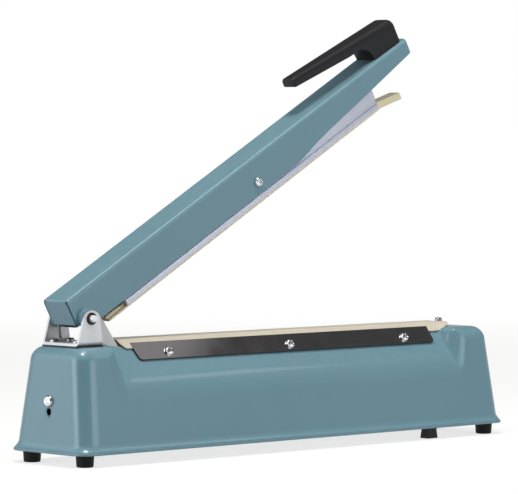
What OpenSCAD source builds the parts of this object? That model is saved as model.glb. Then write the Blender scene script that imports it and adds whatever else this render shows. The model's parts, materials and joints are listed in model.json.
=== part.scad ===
// Hand impulse sealer: a bench-top housing with a hot wire along its ridge,
// and a sprung arm that presses the mouth of a plastic bag onto the wire.
// X runs along the housing from the hinge to the handle, Y across it, Z up from the table.

/* [Housing] */
// Length of the housing over its rim
body_l = 412; // [390:1:440]
// Width of the housing over its rim
body_w = 80; // [78:1:90]
// Height of the housing from its rim's lower edge to its top
body_h = 71; // [67:0.5:78]
// Wall thickness of the housing
wall = 3; // [2.2:0.1:3.6]
// Radius of the housing's upright corners
corner_r = 12; // [9:0.5:14]
// Distance that the rim stands out from the walls
rim_flare = 2.7; // [1.5:0.1:3.5]
// Height of the rim's upright lip
rim_lip = 2.5; // [1.5:0.1:3.5]
// Height of the hollow curve above the lip
cove_h = 4; // [2:0.5:6]
// Lean of the long walls, in degrees
side_draft = 7.8; // [6:0.1:9]
// Lean of the end walls, in degrees
end_draft = 4.3; // [3:0.1:6]
// Radius of the rounding along the top
top_r = 9; // [6:0.5:10]

/* [Shoulders] */
// Width of the ridge between the shoulders
ridge_w = 22.4; // [20:0.2:26]
// Slope of the shoulders from level, in degrees
shoulder_angle = 52; // [48:0.5:56]
// Distance from the rim to the shoulders at the hinge end
shoulder_left = 48; // [46:0.5:56]
// Distance from the rim to the shoulders at the handle end
shoulder_right = 43; // [40:0.5:50]
// Lean of the shoulders' end faces, in degrees
shoulder_lean = 15; // [8:1:25]
// Hollow radius at the ends of the shoulders
shoulder_r = 5; // [2:0.5:8]
// Radius of the blend from a shoulder into the wall
blend_r = 20; // [10:1:26]

/* [Base and feet] */
// Height of the feet
foot_h = 8.2; // [6:0.1:12]
// Diameter of a foot at its top
foot_d = 13; // [11:0.5:14]
// Diameter of a foot at the table
foot_tip_d = 11.6; // [10.5:0.1:13]
// Distance of a foot's centre from the rim
foot_inset = 12.5; // [12:0.1:14]
// Thickness of the base plate
plate_t = 1.5; // [1:0.1:2]
// Width of the rim under the housing, around the base plate
plate_inset = 3.7; // [3.2:0.1:4.2]
// Diameter of the corner bosses
boss_d = 8; // [7:0.25:9]
// Height of the corner bosses
boss_h = 16; // [12:1:24]

/* [Cord gland] */
// Distance of the gland's centre from the rim's end
gland_inset = 73; // [60:1:90]
// Width of the gland at the table
gland_l = 10; // [8:0.5:14]
// Depth of the gland at the table
gland_w = 8; // [7:0.5:9]
// Narrowing of the gland towards its top
gland_taper = 1.6; // [0.5:0.1:2.5]
// Diameter of the lead's hole
lead_d = 5; // [3:0.25:6]

/* [Hinge] */
// Distance of the hinge pin from the rim
pivot_inset = 26.1; // [25:0.1:27.5]
// Height of the hinge pin above the housing's top
pivot_h = 19.3; // [18:0.1:22]
// Diameter of the hinge pin
pin_d = 4.8; // [4:0.1:5.5]
// Length of the hinge pin past each ear
pin_end = 3.9; // [2.5:0.1:5]
// Width of the bracket over its ears
bracket_w = 37.2; // [36:0.2:39]
// Thickness of the bracket's sheet
bracket_t = 1.8; // [1.2:0.1:2.2]
// Reach of the bracket behind the pin
ear_back = 12; // [11:0.25:13]
// Reach of the bracket in front of the pin
ear_front = 10.3; // [9.5:0.1:11]
// Radius of the ears' round tops
ear_r = 7.6; // [6.8:0.1:8.2]
// Height of the triangular wings
wing_h = 17.5; // [10:0.5:18]
// Reach of the wings from the middle plane
wing_y = 25; // [23:0.5:26.5]
// Thickness of the gasket under the bracket
gasket_t = 0.9; // [0.5:0.1:1.5]
// Diameter of the torsion spring's wire
spring_wire = 2; // [1.5:0.1:2.2]
// Turns of the torsion spring
spring_turns = 5; // [3:1:5]

/* [Arm] */
// Angle of the open arm, in degrees
arm_open = 29; // [20:1:40]
// Width of the arm
arm_w = 25.3; // [24.5:0.1:27]
// Thickness of the arm's sheet
arm_t = 1.2; // [0.8:0.1:1.5]
// Height of the arm's top above the pin
arm_top = 18.9; // [17:0.1:21]
// Depth of the arm's sides below the pin
arm_skirt = 8.5; // [7.5:0.1:9.5]
// Reach of the arm behind the pin
arm_tail = 8.8; // [8.6:0.1:9.6]
// Outer radius of the arm's folds
fold_r = 2.5; // [1.6:0.1:3.5]
// Length of the tapered front of the arm
taper_l = 138; // [100:1:160]
// Height of the arm's tip
tip_h = 11; // [9:0.5:14]
// Reach of the arm's tip past the strip
tip_reach = 20.5; // [10:0.5:24]
// Diameter of the painted pivot bosses
bush_d = 14; // [12:0.5:15]

/* [Pressure bar] */
// Width of the bar
bar_w = 16; // [14:0.5:18]
// Height of the bar
bar_h = 20.5; // [18:0.5:22]
// Width of the strip
strip_w = 10; // [7:0.5:11]
// Thickness of the strip
strip_t = 3.5; // [2.5:0.1:4.5]
// Height of the strip that shows below the bar
strip_show = 1; // [0.5:0.1:1.5]
// Free tail of the strip at the hinge end
tail_left = 19; // [12:0.5:24]
// Free tail of the strip at the handle end
tail_right = 26.5; // [12:0.5:30]
// Gap between the strip and the cloth with the arm down
closed_gap = 0.35; // [0.3:0.05:1]

/* [Handle] */
// Length of the handle
handle_l = 107; // [90:0.5:115]
// Width of the handle's free end
grip_w = 12.4; // [11:0.2:15]
// Width of the handle at its front
root_w = 20.4; // [18:0.2:22]
// Height of the handle's free end above the arm
handle_rise = 26.5; // [24:0.5:30]
// Height of the handle's front above the arm
handle_front = 18.5; // [15:0.5:20]
// Length of the handle's root on the arm
root_l = 28; // [26:0.5:34]
// Radius of the finger gap's round end
gap_r = 13; // [11.5:0.5:14]
// Thickness of the handle's free end
grip_t = 7; // [5:0.25:8]

/* [Seal] */
// Height of the insulating bar under the wire
seat_h = 2.9; // [2.5:0.1:3.5]
// Width of the hot wire
wire_w = 2; // [1:0.5:5]
// Thickness of the hot wire
wire_t = 0.2; // [0.1:0.05:0.3]
// Thickness of the cloth
cloth_t = 0.35; // [0.2:0.05:0.5]
// Length of the cloth's flaps down the shoulders
cloth_flap = 2.2; // [2:0.2:5]
// Width of the clamp plates
clamp_w = 14.4; // [13:0.2:16]
// Thickness of the clamp plates
clamp_t = 1; // [0.6:0.1:1.5]
// Distance between the clamp screws
clamp_pitch = 114.5; // [90:0.5:118]

/* [Controls] */
// Diameter of the timer knob
knob_d = 18; // [14:0.5:20]
// Height of the timer knob
knob_h = 5.8; // [5:0.1:6.2]
// Distance of the knob's centre from the rim's end
knob_inset = 30; // [29:0.5:32]
// Height of the knob's centre above the rim
knob_z = 50; // [47:0.5:52]
// Diameter of the indicator lamp's bezel
lamp_d = 11; // [9:0.5:14]
// Diameter of the switch plunger
plunger_d = 4.4; // [3:0.2:4.6]
// Travel of the switch plunger
plunger_travel = 2; // [1:0.1:2.5]
// Depth of the striker tab below the pin
striker_drop = 12; // [11:0.25:13]

/* [Clearances] */
// Radial clearance of pins and screws in their holes
pin_clear = 0.05; // [0.02:0.01:0.1]
// Clearance between pieces that pass each other
run_clear = 0.3; // [0.2:0.05:0.5]
// Clearance between pieces that lie on each other
lay_clear = 0.05; // [0.02:0.01:0.1]

/* [Hidden] */
$fn = 64;
hull_fn = 32;
eps = 0.02;
far = 200;

rim_z = foot_h;
top_z = rim_z + body_h;
cove_z = rim_z + rim_lip + cove_h;
floor_z = rim_z + plate_t;
cove_steps = 3;
top_steps = 5;

function side_in(z) = rim_flare + (z - cove_z) * tan(side_draft);
function end_in(z) = rim_flare + (z - cove_z) * tan(end_draft);
function wall_y(z) = body_w / 2 - side_in(z);
function wall_x(z) = body_l / 2 - end_in(z);

// Screws: shaft diameters, head diameters and head heights
m3 = 3;
m4 = 4;
pan_d = 6.6;
pan_h = 2.2;
end_head_d = 7.8;
end_head_h = 2.6;
term_head_d = 5.5;
small_head_d = 5;
small_head_h = 1.8;
screw_l = 8;
screw_boss_d = 6;
nut_d = 7;
nut_h = 3;

// Screw and empty hole in the end wall: heights above the rim
end_screw_h = 35;
end_hole_h = 27;
end_hole_d = 4;

foot_x = body_l / 2 - foot_inset;
foot_y = body_w / 2 - foot_inset;
foot_sink_d = pan_d + 2 * run_clear;
foot_sink_h = 4.5;
foot_edge_r = 1;

// Cord gland
gland_x = body_l / 2 - gland_inset;
gland_neck_d = 5;
gland_edge = 2;
gland_y = -body_w / 2 + plate_inset + gland_edge + gland_w / 2;
gland_neck_y = gland_y + 1.5;
gland_z = 0.4;
gland_nut_d = 8;

shoulder_x0 = -body_l / 2 + shoulder_left;
shoulder_x1 = body_l / 2 - shoulder_right;

// Hinge
pivot_x = -body_l / 2 + pivot_inset;
pivot_z = top_z + pivot_h;
bracket_z = top_z + gasket_t;
bracket_top = bracket_z + bracket_t;
ear_in = bracket_w / 2 - bracket_t;
ear_shift = 0.8;
ear_drop = 2.2;
bend_r = 3;
wing_tip = 1.8;
wing_drop = 1.7;
wing_turn = 45;
bracket_screw_x = 7;
bracket_screw_y = 12;
clip_d = 8.4;
clip_t = 0.8;

// Seat, wire and cloth
seat_left = 6;
seat_right = -0.7;
seat_x0 = shoulder_x0 + seat_left;
seat_x1 = shoulder_x1 - seat_right;
seat_z = top_z + seat_h;
cloth_z = seat_z + wire_t + lay_clear;
cloth_top = cloth_z + cloth_t;
cloth_left = 3.4;
cloth_x0 = seat_x0 - cloth_left;
term_l = 13;
term_w = 12;
term_screw = 9.9;
term_x0 = seat_x0 - run_clear - term_screw;
term_x1 = seat_x1 + run_clear + term_screw;
cloth_x1 = term_x1 - term_head_d / 2 - run_clear;
clamp_left = 20.1;
clamp_slant = 2.3;
clamp_drop = 1.6;
clamp_right = 14.4;
clamp_x0 = shoulder_x0 + clamp_left;
clamp_x1 = shoulder_x1 - clamp_right;
clamp_mid = (clamp_x0 + clamp_x1) / 2;
clamp_up = 0.5;
clamp_z = lay_clear + cloth_t + lay_clear;
clamp_corner = 3;

// Arm, in its own frame: X along the arm from the pin, Z up, level when the arm is down
strip_v = cloth_top + closed_gap - pivot_z;
strip_left = 0.55;
strip_right = 8;
strip_u0 = term_x0 + term_head_d / 2 + strip_left - pivot_x;
strip_u1 = term_x1 - term_head_d / 2 - strip_right - pivot_x;
bar_u0 = strip_u0 + tail_left;
bar_u1 = strip_u1 - tail_right;
bar_v = strip_v + strip_show;
bar_hole_v = 15.8;
bar_mid_v = bar_v + bar_hole_v;
arm_l = strip_u1 + tip_reach;
taper_u = arm_l - taper_l;
tip_v = arm_top - tip_h;
tip_r = 3;
nose_r = 6;
flap_v = -0.4;
flap_slit = 0.6;
relief_d = 2;
arm_in = arm_w / 2 - arm_t;
groove_h = 2.2;
groove_d = 1.2;
groove_v = 5.7;
cross_shift = 4.3;
cross_u = (bar_u0 + bar_u1) / 2 + cross_shift;
spacer_d = 9;
bush_in = 4;
spigot_d = 8.8;

// Torsion spring
spring_r = 5.8;
curl_rings = 8;
coil_gap = 0.45;
coil_side_gap = 0.8;
spring_pitch = spring_wire + coil_gap;
spring_y = arm_in - coil_side_gap - spring_wire / 2;
sleeve_d = 2 * (spring_r * cos(180 / curl_rings) - spring_wire / 2 - run_clear);
leg_in_angle = 190;
leg_out_angle = 130;
tube_sides = 6;

// Handle
root_end = 4.5;
root_u1 = arm_l - root_end;
root_u0 = root_u1 - root_l;
grip_u0 = root_u1 - handle_l;
handle_z1 = arm_top + handle_front;
handle_z0 = arm_top + handle_rise;
front_r = 4;
front_corner = 5;
edge_r = 2.5;
end_r = 1.2;
gap_lift = 0.5;
gap_start = 1.5;
grip_swell = 1.25;
handle_fall = atan2(handle_rise - handle_front, handle_l);
handle_flare = atan2((root_w - grip_w) / 2, handle_l);

// Switch
plunger_x = pivot_x + 8;
plunger_y = -6;
plunger_top = pivot_z - striker_drop - run_clear;
guide_d = 10;
guide_h = 6;
guide_z = top_z - wall - guide_h;
plunger_tail = 3;
plunger_z = guide_z - plunger_tail;
collar_h = 1.2;
collar_d = plunger_d + 1;
button_d = 3;
button_l = 6;
switch_l = 20;
switch_w = 6.4;
switch_h = 10.5;
switch_back = 6;
switch_pitch = 15;
switch_x = plunger_x - switch_back + switch_l / 2;
switch_gap = 0.5;
switch_hole = 8;
switch_floor = 4;
switch_z = plunger_z - plunger_travel - switch_gap;
rib_t = 4;
striker_gap = 0.8;
striker_up = 8;
striker_u0 = spigot_d / 2 + striker_gap;
striker_l = 6;
striker_t = 1.5;

// Timer and lamp
knob_x = body_l / 2 - knob_inset;
knob_cz = rim_z + knob_z;
lamp_knob = 32;
lamp_h = 30;
lamp_x = knob_x - lamp_knob;
lamp_cz = rim_z + lamp_h;
lamp_bezel = 1;
lamp_dome = 2.4;
lamp_tail = 12;
shaft_d = 6;
thread_d = 7;
pot_d = 16;
pot_l = 9;
pot_floor = 2;
pot_thread = 0.6;
pot_nut_d = 10;
pot_nut_h = 1.8;
knob_gap = 0.5;
knob_sink = 2.8;
flutes = 18;
flute_d = 1.4;
skirt_h = 1.2;
skirt_w = 1.2;
knob_top = 1.5;
pointer_w = 0.9;
pointer_d = 0.4;

// Transformer and timer board
core_l = 66;
core_h = 48;
core_w = 34;
core_x = 30;
leg_w = 11;
coil_bulge = 9;
strap_w = 18;
strap_t = 1.5;
strap_flange = 10;
strap_screw = core_l / 2 + strap_t + strap_flange / 2;
window_h = core_h - 2 * leg_w;
board_x = -80;
board_l = 60;
board_w = 40;
board_t = 1.6;
post_d = 5;
post_h = 8;
relay = [20, 16, 15];
relay_x = -12;
capacitor_d = 10;
capacitor_h = 13;
capacitor_x = 14;
capacitor_y = 9;
coil_corner = 4;

// Paint and materials
paint = [0.42, 0.56, 0.6];
nickel = [0.82, 0.8, 0.81];
steel = [0.7, 0.7, 0.72];
black = [0.1, 0.1, 0.11];
beige = [0.83, 0.77, 0.69];

// Shared shapes

// Rectangle with round corners, centred
module rounded_rect(l, w, r) {
  square([l - 2 * r, w], center = true);
  square([l, w - 2 * r], center = true);
  for (x = [-1, 1], y = [-1, 1])
    translate([x * (l / 2 - r), y * (w / 2 - r)]) circle(r);
}

// Thin slice of the housing, drawn in from the rim by a distance at the ends and at the sides
module slice(z, in_x, in_y, r) {
  translate([0, 0, z]) linear_extrude(eps)
    rounded_rect(body_l - 2 * in_x, body_w - 2 * in_y, max(r, 1), $fn = hull_fn);
}

// Screw with a round head: the head stands on Z = 0, the shaft points down
module pan_screw(d, l, head_d = pan_d, head_h = pan_h) {
  cap_r = (head_d * head_d / 4 + head_h * head_h) / (2 * head_h);
  rotate_extrude() intersection() {
    translate([0, head_h - cap_r]) circle(cap_r);
    square([head_d / 2, head_h]);
  }
  translate([0, 0, -l]) cylinder(d = d, h = l + eps);
}

// Six-sided nut with its hole
module nut(across, h, hole) {
  difference() {
    cylinder(d = across / cos(30), h = h, $fn = 6);
    translate([0, 0, -1]) cylinder(d = hole, h = h + 2);
  }
}

// Cylinder along Y, centred on the pin
module along_y(d, y0, y1) {
  translate([0, y1, 0]) rotate([90, 0, 0]) cylinder(d = d, h = y1 - y0);
}

module at_pivot() {
  translate([pivot_x, 0, pivot_z]) children();
}

// The open arm
module on_arm() {
  at_pivot() rotate([0, -arm_open, 0]) children();
}

// Side view of the arm, drawn out across it
module side_view(w) {
  rotate([90, 0, 0]) linear_extrude(w, center = true) children();
}

// Shoulder frame: X along the housing, Y down the slope, Z out of it
module on_slope(side) {
  mirror([0, side < 0 ? 1 : 0, 0])
    translate([0, ridge_w / 2, top_z]) rotate([-shoulder_angle, 0, 0]) children();
}

// Square to the long wall at the back, pointing out
module on_back_wall(x, z) {
  translate([x, wall_y(z), z]) rotate([side_draft - 90, 0, 0]) children();
}

// Square to the end wall at the hinge end, pointing out
module on_left_wall(z) {
  translate([-wall_x(z), 0, z]) rotate([0, end_draft - 90, 0]) children();
}

module at_corners() {
  for (x = [-1, 1], y = [-1, 1]) translate([x * foot_x, y * foot_y, 0]) children();
}

module at_bracket_screws() {
  for (x = [-1, 1], y = [-1, 1])
    translate([pivot_x + x * bracket_screw_x, y * bracket_screw_y, 0]) children();
}

module at_clamp_screws(side) {
  on_slope(side) for (i = [-1:1])
    translate([clamp_mid + i * clamp_pitch, clamp_w / 2 - clamp_up + clamp_drop, 0]) children();
}

module at_switch_screws() {
  for (x = [-1, 1])
    translate([switch_x + x * switch_pitch / 2, plunger_y, switch_z - switch_hole]) children();
}

// Housing

// Walls and round top, drawn in all over by a distance
module wall_form(in, z0) {
  r_top = max(top_r - in, 1);
  hull() {
    slice(z0, end_in(z0) + in, side_in(z0) + in, corner_r - in);
    for (i = [0:top_steps]) {
      a = 90 * i / top_steps;
      z = top_z - in - r_top * (1 - sin(a)) - eps;
      bow = in + r_top * (1 - cos(a));
      slice(z, end_in(z) + bow, side_in(z) + bow, corner_r - bow);
    }
  }
}

module rim_form() {
  translate([0, 0, rim_z]) linear_extrude(rim_lip) rounded_rect(body_l, body_w, corner_r);
  for (i = [0:cove_steps - 1]) hull() for (k = [i, i + 1]) {
    a = 90 * k / cove_steps;
    in = rim_flare * sin(a);
    slice(rim_z + rim_lip - eps + cove_h * (1 - cos(a)), in, in, corner_r);
  }
}

// Outline of the space above a shoulder, in the YZ plane, with the blend into the wall
module shoulder_section(grow) {
  td = tan(side_draft);
  ta = tan(shoulder_angle);
  nrm = [sin(shoulder_angle), cos(shoulder_angle)];
  dir = [cos(shoulder_angle), -sin(shoulder_angle)];
  p0 = [ridge_w / 2, top_z] - grow * nrm;
  reach = wall_y(0) - grow + lay_clear;
  corner_z = (p0[1] - (reach - p0[0]) * ta) / (1 - td * ta);
  corner = [reach - corner_z * td, corner_z];
  turn = 90 - side_draft - shoulder_angle;
  tangent = corner - dir * blend_r * tan(turn / 2);
  centre = tangent - nrm * blend_r;
  arc_n = 6;
  polygon(concat(
    [p0 - dir * 30],
    [for (i = [0:arc_n]) let (a = 90 - shoulder_angle - turn * i / arc_n)
      centre + blend_r * [cos(a), sin(a)]],
    [[body_w, corner_z - 2], [body_w, top_z + far]]
  ));
}

// Outline of the same space along the slope: leaning ends with hollow corners
module shoulder_length(grow) {
  lean = 90 - shoulder_lean;
  r = shoulder_r;
  run = r * tan(lean / 2);
  height = 60;
  arc_n = 4;
  function end(x, s) = concat(
    [for (i = [0:arc_n]) let (a = lean * i / arc_n)
      [x + s * (r * sin(a) - run), -grow + r * (1 - cos(a))]],
    [[x + s * height * tan(shoulder_lean), height - grow]]
  );
  left = end(shoulder_x0 - grow, -1);
  right = end(shoulder_x1 + grow, 1);
  polygon(concat([for (i = [len(left) - 1:-1:0]) left[i]], right));
}

module shoulder_cuts(grow) {
  for (side = [-1, 1]) intersection() {
    mirror([0, side < 0 ? 1 : 0, 0])
      rotate([90, 0, 90]) linear_extrude(body_l, center = true) shoulder_section(grow);
    on_slope(side) rotate([90, 0, 0]) linear_extrude(far, center = true) shoulder_length(grow);
  }
}

// Bosses and ribs inside the housing
module inner_bosses() {
  at_corners() translate([0, 0, floor_z]) cylinder(d = boss_d, h = boss_h);
  for (x = [-1, 1], y = [-1, 1])
    translate([x * foot_x, y * foot_y, floor_z])
      rotate([0, 0, atan2(y, x)])
        translate([0, -wall / 2, 0]) cube([far / 10, wall, boss_h]);
  at_bracket_screws() translate([0, 0, top_z - wall - screw_l])
    cylinder(d = screw_boss_d, h = screw_l + wall / 2);
  translate([plunger_x, plunger_y, guide_z]) cylinder(d = guide_d, h = guide_h + wall / 2);
  translate([switch_x - switch_l / 2, plunger_y + switch_w / 2, switch_z - switch_h])
    cube([switch_l, rib_t, top_z - wall / 2 - switch_z + switch_h]);
}

module shell_holes() {
  at_corners() translate([0, 0, rim_z]) cylinder(d = m3 + 2 * pin_clear, h = boss_h);
  at_bracket_screws() translate([0, 0, top_z - screw_l]) cylinder(d = m3 + 2 * pin_clear, h = screw_l + 1);
  translate([plunger_x, plunger_y, guide_z - 1])
    cylinder(d = plunger_d + 2 * pin_clear, h = guide_h + wall + 2);
  at_switch_screws() along_y(m3 + 2 * pin_clear, 0, switch_w / 2 + rib_t + 1);
  for (side = [-1, 1]) at_clamp_screws(side)
    translate([0, 0, -screw_l]) cylinder(d = m3 + 2 * pin_clear, h = screw_l + 2);
  for (x = [term_x0, term_x1]) translate([x, 0, top_z - screw_l])
    cylinder(d = m3 + 2 * pin_clear, h = screw_l + 1);
  on_back_wall(knob_x, knob_cz) translate([0, 0, -2 * wall])
    cylinder(d = thread_d + 2 * pin_clear, h = 4 * wall);
  on_back_wall(lamp_x, lamp_cz) translate([0, 0, -2 * wall])
    cylinder(d = lamp_d - 2 * lamp_bezel + 2 * pin_clear, h = 4 * wall);
  on_left_wall(rim_z + end_screw_h) translate([0, 0, -2 * wall])
    cylinder(d = m4 + 2 * pin_clear, h = 4 * wall);
  on_left_wall(rim_z + end_hole_h) translate([0, 0, -2 * wall]) cylinder(d = end_hole_d, h = 4 * wall);
}

module body_shell() {
  color(paint) difference() {
    union() {
      difference() {
        union() {
          rim_form();
          wall_form(0, cove_z - eps);
        }
        shoulder_cuts(0);
        difference() {
          wall_form(wall, floor_z - 1);
          shoulder_cuts(wall);
        }
      }
      intersection() {
        inner_bosses();
        wall_form(wall / 2, floor_z - 1);
      }
    }
    translate([0, 0, rim_z - 1]) linear_extrude(plate_t + 1)
      rounded_rect(body_l - 2 * plate_inset, body_w - 2 * plate_inset, corner_r - plate_inset);
    shell_holes();
  }
}

// Base

module base_plate() {
  in = plate_inset + run_clear;
  color(steel) difference() {
    translate([0, 0, rim_z]) linear_extrude(plate_t)
      rounded_rect(body_l - 2 * in, body_w - 2 * in, corner_r - in);
    at_corners() translate([0, 0, rim_z - 1]) cylinder(d = m3 + 2 * pin_clear, h = plate_t + 2);
    translate([gland_x, gland_neck_y, rim_z - 1]) cylinder(d = gland_neck_d + 2 * pin_clear, h = plate_t + 2);
    for (x = [-1, 1]) translate([core_x + x * strap_screw, 0, rim_z - 1])
      cylinder(d = m4 + 2 * pin_clear, h = plate_t + 2);
  }
}

module foot(x, y) {
  r = foot_edge_r;
  color(black) translate([x * foot_x, y * foot_y, 0]) rotate_extrude()
    polygon(concat(
      [[m3 / 2 + pin_clear, foot_h], [m3 / 2 + pin_clear, foot_sink_h],
       [foot_sink_d / 2, foot_sink_h], [foot_sink_d / 2, 0]],
      [for (a = [-90:30:0]) [foot_tip_d / 2 - r + r * cos(a), r + r * sin(a)]],
      [[foot_d / 2, foot_h]]
    ));
}

module foot_front_left() foot(-1, -1);
module foot_front_right() foot(1, -1);
module foot_rear_left() foot(-1, 1);
module foot_rear_right() foot(1, 1);

module foot_screws() {
  color(steel) at_corners() translate([0, 0, foot_sink_h]) mirror([0, 0, 1])
    pan_screw(m3, rim_z + boss_h - foot_sink_h - run_clear);
}

module gland_side(w) {
  top = (w - gland_taper) / 2;
  polygon([[-w / 2, gland_z], [w / 2, gland_z], [top, rim_z], [-top, rim_z]]);
}

module cord_gland() {
  color(black) difference() {
    union() {
      translate([gland_x, gland_y, 0]) intersection() {
        rotate([90, 0, 0]) linear_extrude(2 * gland_w, center = true) gland_side(gland_l);
        rotate([90, 0, 90]) linear_extrude(2 * gland_l, center = true) gland_side(gland_w);
      }
      translate([gland_x, gland_neck_y, rim_z - eps])
        cylinder(d = gland_neck_d, h = plate_t + nut_h + 1);
    }
    translate([gland_x, gland_y, gland_z + (rim_z - gland_z) / 2])
      rotate([0, 90, 0]) cylinder(d = lead_d, h = gland_l);
  }
}

module gland_nut() {
  color(black) translate([gland_x, gland_neck_y, floor_z])
    nut(gland_nut_d, nut_h, gland_neck_d + 2 * pin_clear);
}

// Hinge

module bracket_side() {
  base = [-ear_back, ear_front];
  drop = bracket_z - pivot_z;
  centre = [ear_shift, -ear_drop];
  function touch(x, s) =
    let (e = [x, drop] - centre, a = atan2(e[1], e[0]) + s * acos(ear_r / norm(e)))
    centre + ear_r * [cos(a), sin(a)];
  translate(centre) circle(ear_r);
  polygon([[base[0], drop], [base[1], drop], touch(base[1], 1), centre, touch(base[0], -1)]);
}

module bracket_fold() {
  h = far / 4;
  difference() {
    union() {
      translate([-bracket_w / 2, bend_r]) square([bracket_w, h]);
      translate([-bracket_w / 2 + bend_r, 0]) square([bracket_w - 2 * bend_r, bend_r + eps]);
      for (y = [-1, 1]) translate([y * (bracket_w / 2 - bend_r), bend_r]) circle(bend_r);
    }
    translate([-ear_in, bend_r]) square([2 * ear_in, h + 1]);
    translate([-ear_in + bend_r - bracket_t, bracket_t])
      square([2 * (ear_in - bend_r + bracket_t), bend_r]);
    for (y = [-1, 1]) translate([y * (bracket_w / 2 - bend_r), bend_r]) circle(bend_r - bracket_t);
  }
}

module bracket_holes() {
  at_bracket_screws() translate([0, 0, top_z - 1]) cylinder(d = m3 + 2 * pin_clear, h = 10);
  translate([plunger_x, plunger_y, top_z - 1]) cylinder(d = plunger_d + 2 * run_clear, h = 10);
}

module hinge_bracket() {
  lean = atan((ear_front - ear_r - ear_shift) / (pivot_h - gasket_t - ear_drop));
  wing_l = (wing_y - ear_in - bracket_t / 2) / sin(wing_turn);
  color(nickel) difference() {
    union() {
      intersection() {
        at_pivot() side_view(bracket_w + 2) bracket_side();
        translate([pivot_x, 0, bracket_z]) rotate([90, 0, 90])
          linear_extrude(far / 2, center = true) bracket_fold();
      }
      for (s = [0, 1]) mirror([0, s, 0])
        translate([pivot_x + ear_front, ear_in + bracket_t / 2, bracket_z]) rotate([0, -lean, 0])
          rotate([90, 0, wing_turn]) linear_extrude(bracket_t, center = true)
            polygon([[bend_r, 0], [wing_l, -wing_drop], [wing_tip, wing_h], [0, wing_h], [0, bend_r]]);
    }
    at_pivot() along_y(pin_d + 2 * pin_clear, -bracket_w, bracket_w);
    bracket_holes();
  }
}

module bracket_gasket() {
  color(black) difference() {
    translate([pivot_x - ear_back, -bracket_w / 2, top_z])
      cube([ear_back + ear_front, bracket_w, gasket_t]);
    bracket_holes();
  }
}

module bracket_screws() {
  color(steel) at_bracket_screws() translate([0, 0, bracket_top]) pan_screw(m3, screw_l);
}

module hinge_pin() {
  half = bracket_w / 2 + pin_end;
  color(nickel) at_pivot() along_y(pin_d, -half, half);
}

module pin_clips() {
  y0 = bracket_w / 2 + lay_clear;
  color(black) at_pivot() for (s = [0, 1]) mirror([0, s, 0]) difference() {
    along_y(clip_d, y0, y0 + clip_t);
    along_y(pin_d + 2 * pin_clear, y0 - 1, y0 + clip_t + 1);
  }
}

module spring_sleeve() {
  half = arm_in - bush_in + arm_t - run_clear;
  color(black) at_pivot() difference() {
    along_y(sleeve_d, -half, half);
    along_y(pin_d + 2 * pin_clear, -half - 1, half + 1);
  }
}

// Centre line of the spring: a leg up from the bracket, the coil, and a leg out under the arm's top
leg_out = leg_out_angle + arm_open;
coil_turn = leg_in_angle - leg_out + 360 * spring_turns;
coil_steps = ceil(coil_turn / 360 * curl_rings);
leg_in_l = (pivot_z - bracket_top - spring_wire / 2 - run_clear + spring_r * sin(leg_in_angle))
  / -cos(leg_in_angle);
leg_out_l = (arm_top - arm_t - spring_wire / 2 - run_clear - spring_r * sin(leg_out_angle))
  / -cos(leg_out_angle);

function coil_point(t) = let (a = leg_in_angle - coil_turn * t)
  [spring_r * cos(a), spring_y - spring_pitch * coil_turn / 360 * t, spring_r * sin(a)];
function coil_side(t) = let (a = leg_in_angle - coil_turn * t) [cos(a), 0, sin(a)];
function coil_way(a) = [sin(a), 0, -cos(a)];

spring_path = concat(
  [for (k = [1, 0.5]) coil_point(0) - k * leg_in_l * coil_way(leg_in_angle)],
  [for (i = [0:coil_steps]) coil_point(i / coil_steps)],
  [for (k = [0.5, 1]) coil_point(1) + k * leg_out_l * coil_way(leg_out)]
);
spring_side = concat(
  [coil_side(0), coil_side(0)],
  [for (i = [0:coil_steps]) coil_side(i / coil_steps)],
  [coil_side(1), coil_side(1)]
);
spring_gap = min([for (i = [0:len(spring_path) - 1], k = [i + 1:1:len(spring_path) - 1])
  if (k - i >= curl_rings - 1) norm(spring_path[i] - spring_path[k]) - spring_wire]);
echo(spring_gap = spring_gap);

// Round tube along a path whose sideways directions are given
module tube(path, side, d) {
  rings = len(path);
  n = tube_sides;
  points = [for (i = [0:rings - 1], k = [0:n - 1]) let (a = 360 * k / n)
    path[i] + d / 2 * (cos(a) * side[i] + sin(a) * [0, 1, 0])];
  skin = [for (i = [0:rings - 2], k = [0:n - 1], half = [0, 1])
    let (a = i * n + k, b = i * n + (k + 1) % n)
    half == 0 ? [a, b, b + n] : [a, b + n, a + n]];
  caps = [for (k = [1:n - 2], e = [0, 1])
    e == 0 ? [0, k + 1, k] : (rings - 1) * n * [1, 1, 1] + [0, k, k + 1]];
  polyhedron(points, concat(skin, caps));
}

module arm_spring() {
  color([0.25, 0.24, 0.25]) at_pivot() tube(spring_path, spring_side, spring_wire);
}

// Seat, wire and cloth

// Half width at a height on the shoulder's plane moved out by a distance
function slope_y(z, out) =
  ridge_w / 2 + (out - (z - top_z) * cos(shoulder_angle)) / sin(shoulder_angle);

module seat_bar() {
  y0 = slope_y(top_z, 0);
  y1 = slope_y(seat_z, 0);
  color([0.45, 0.3, 0.2]) translate([seat_x0, 0, 0]) rotate([90, 0, 90])
    linear_extrude(seat_x1 - seat_x0)
      polygon([[-y0, top_z], [y0, top_z], [y1, seat_z], [-y1, seat_z]]);
}

module heating_element() {
  color(steel) translate([0, 0, seat_z]) linear_extrude(wire_t) difference() {
    union() {
      translate([term_x0, -wire_w / 2]) square([term_x1 - term_x0, wire_w]);
      for (x = [term_x0, term_x1]) translate([x, 0]) circle(d = term_head_d);
    }
    for (x = [term_x0, term_x1]) translate([x, 0]) circle(d = m3 + 2 * pin_clear);
  }
}

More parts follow.
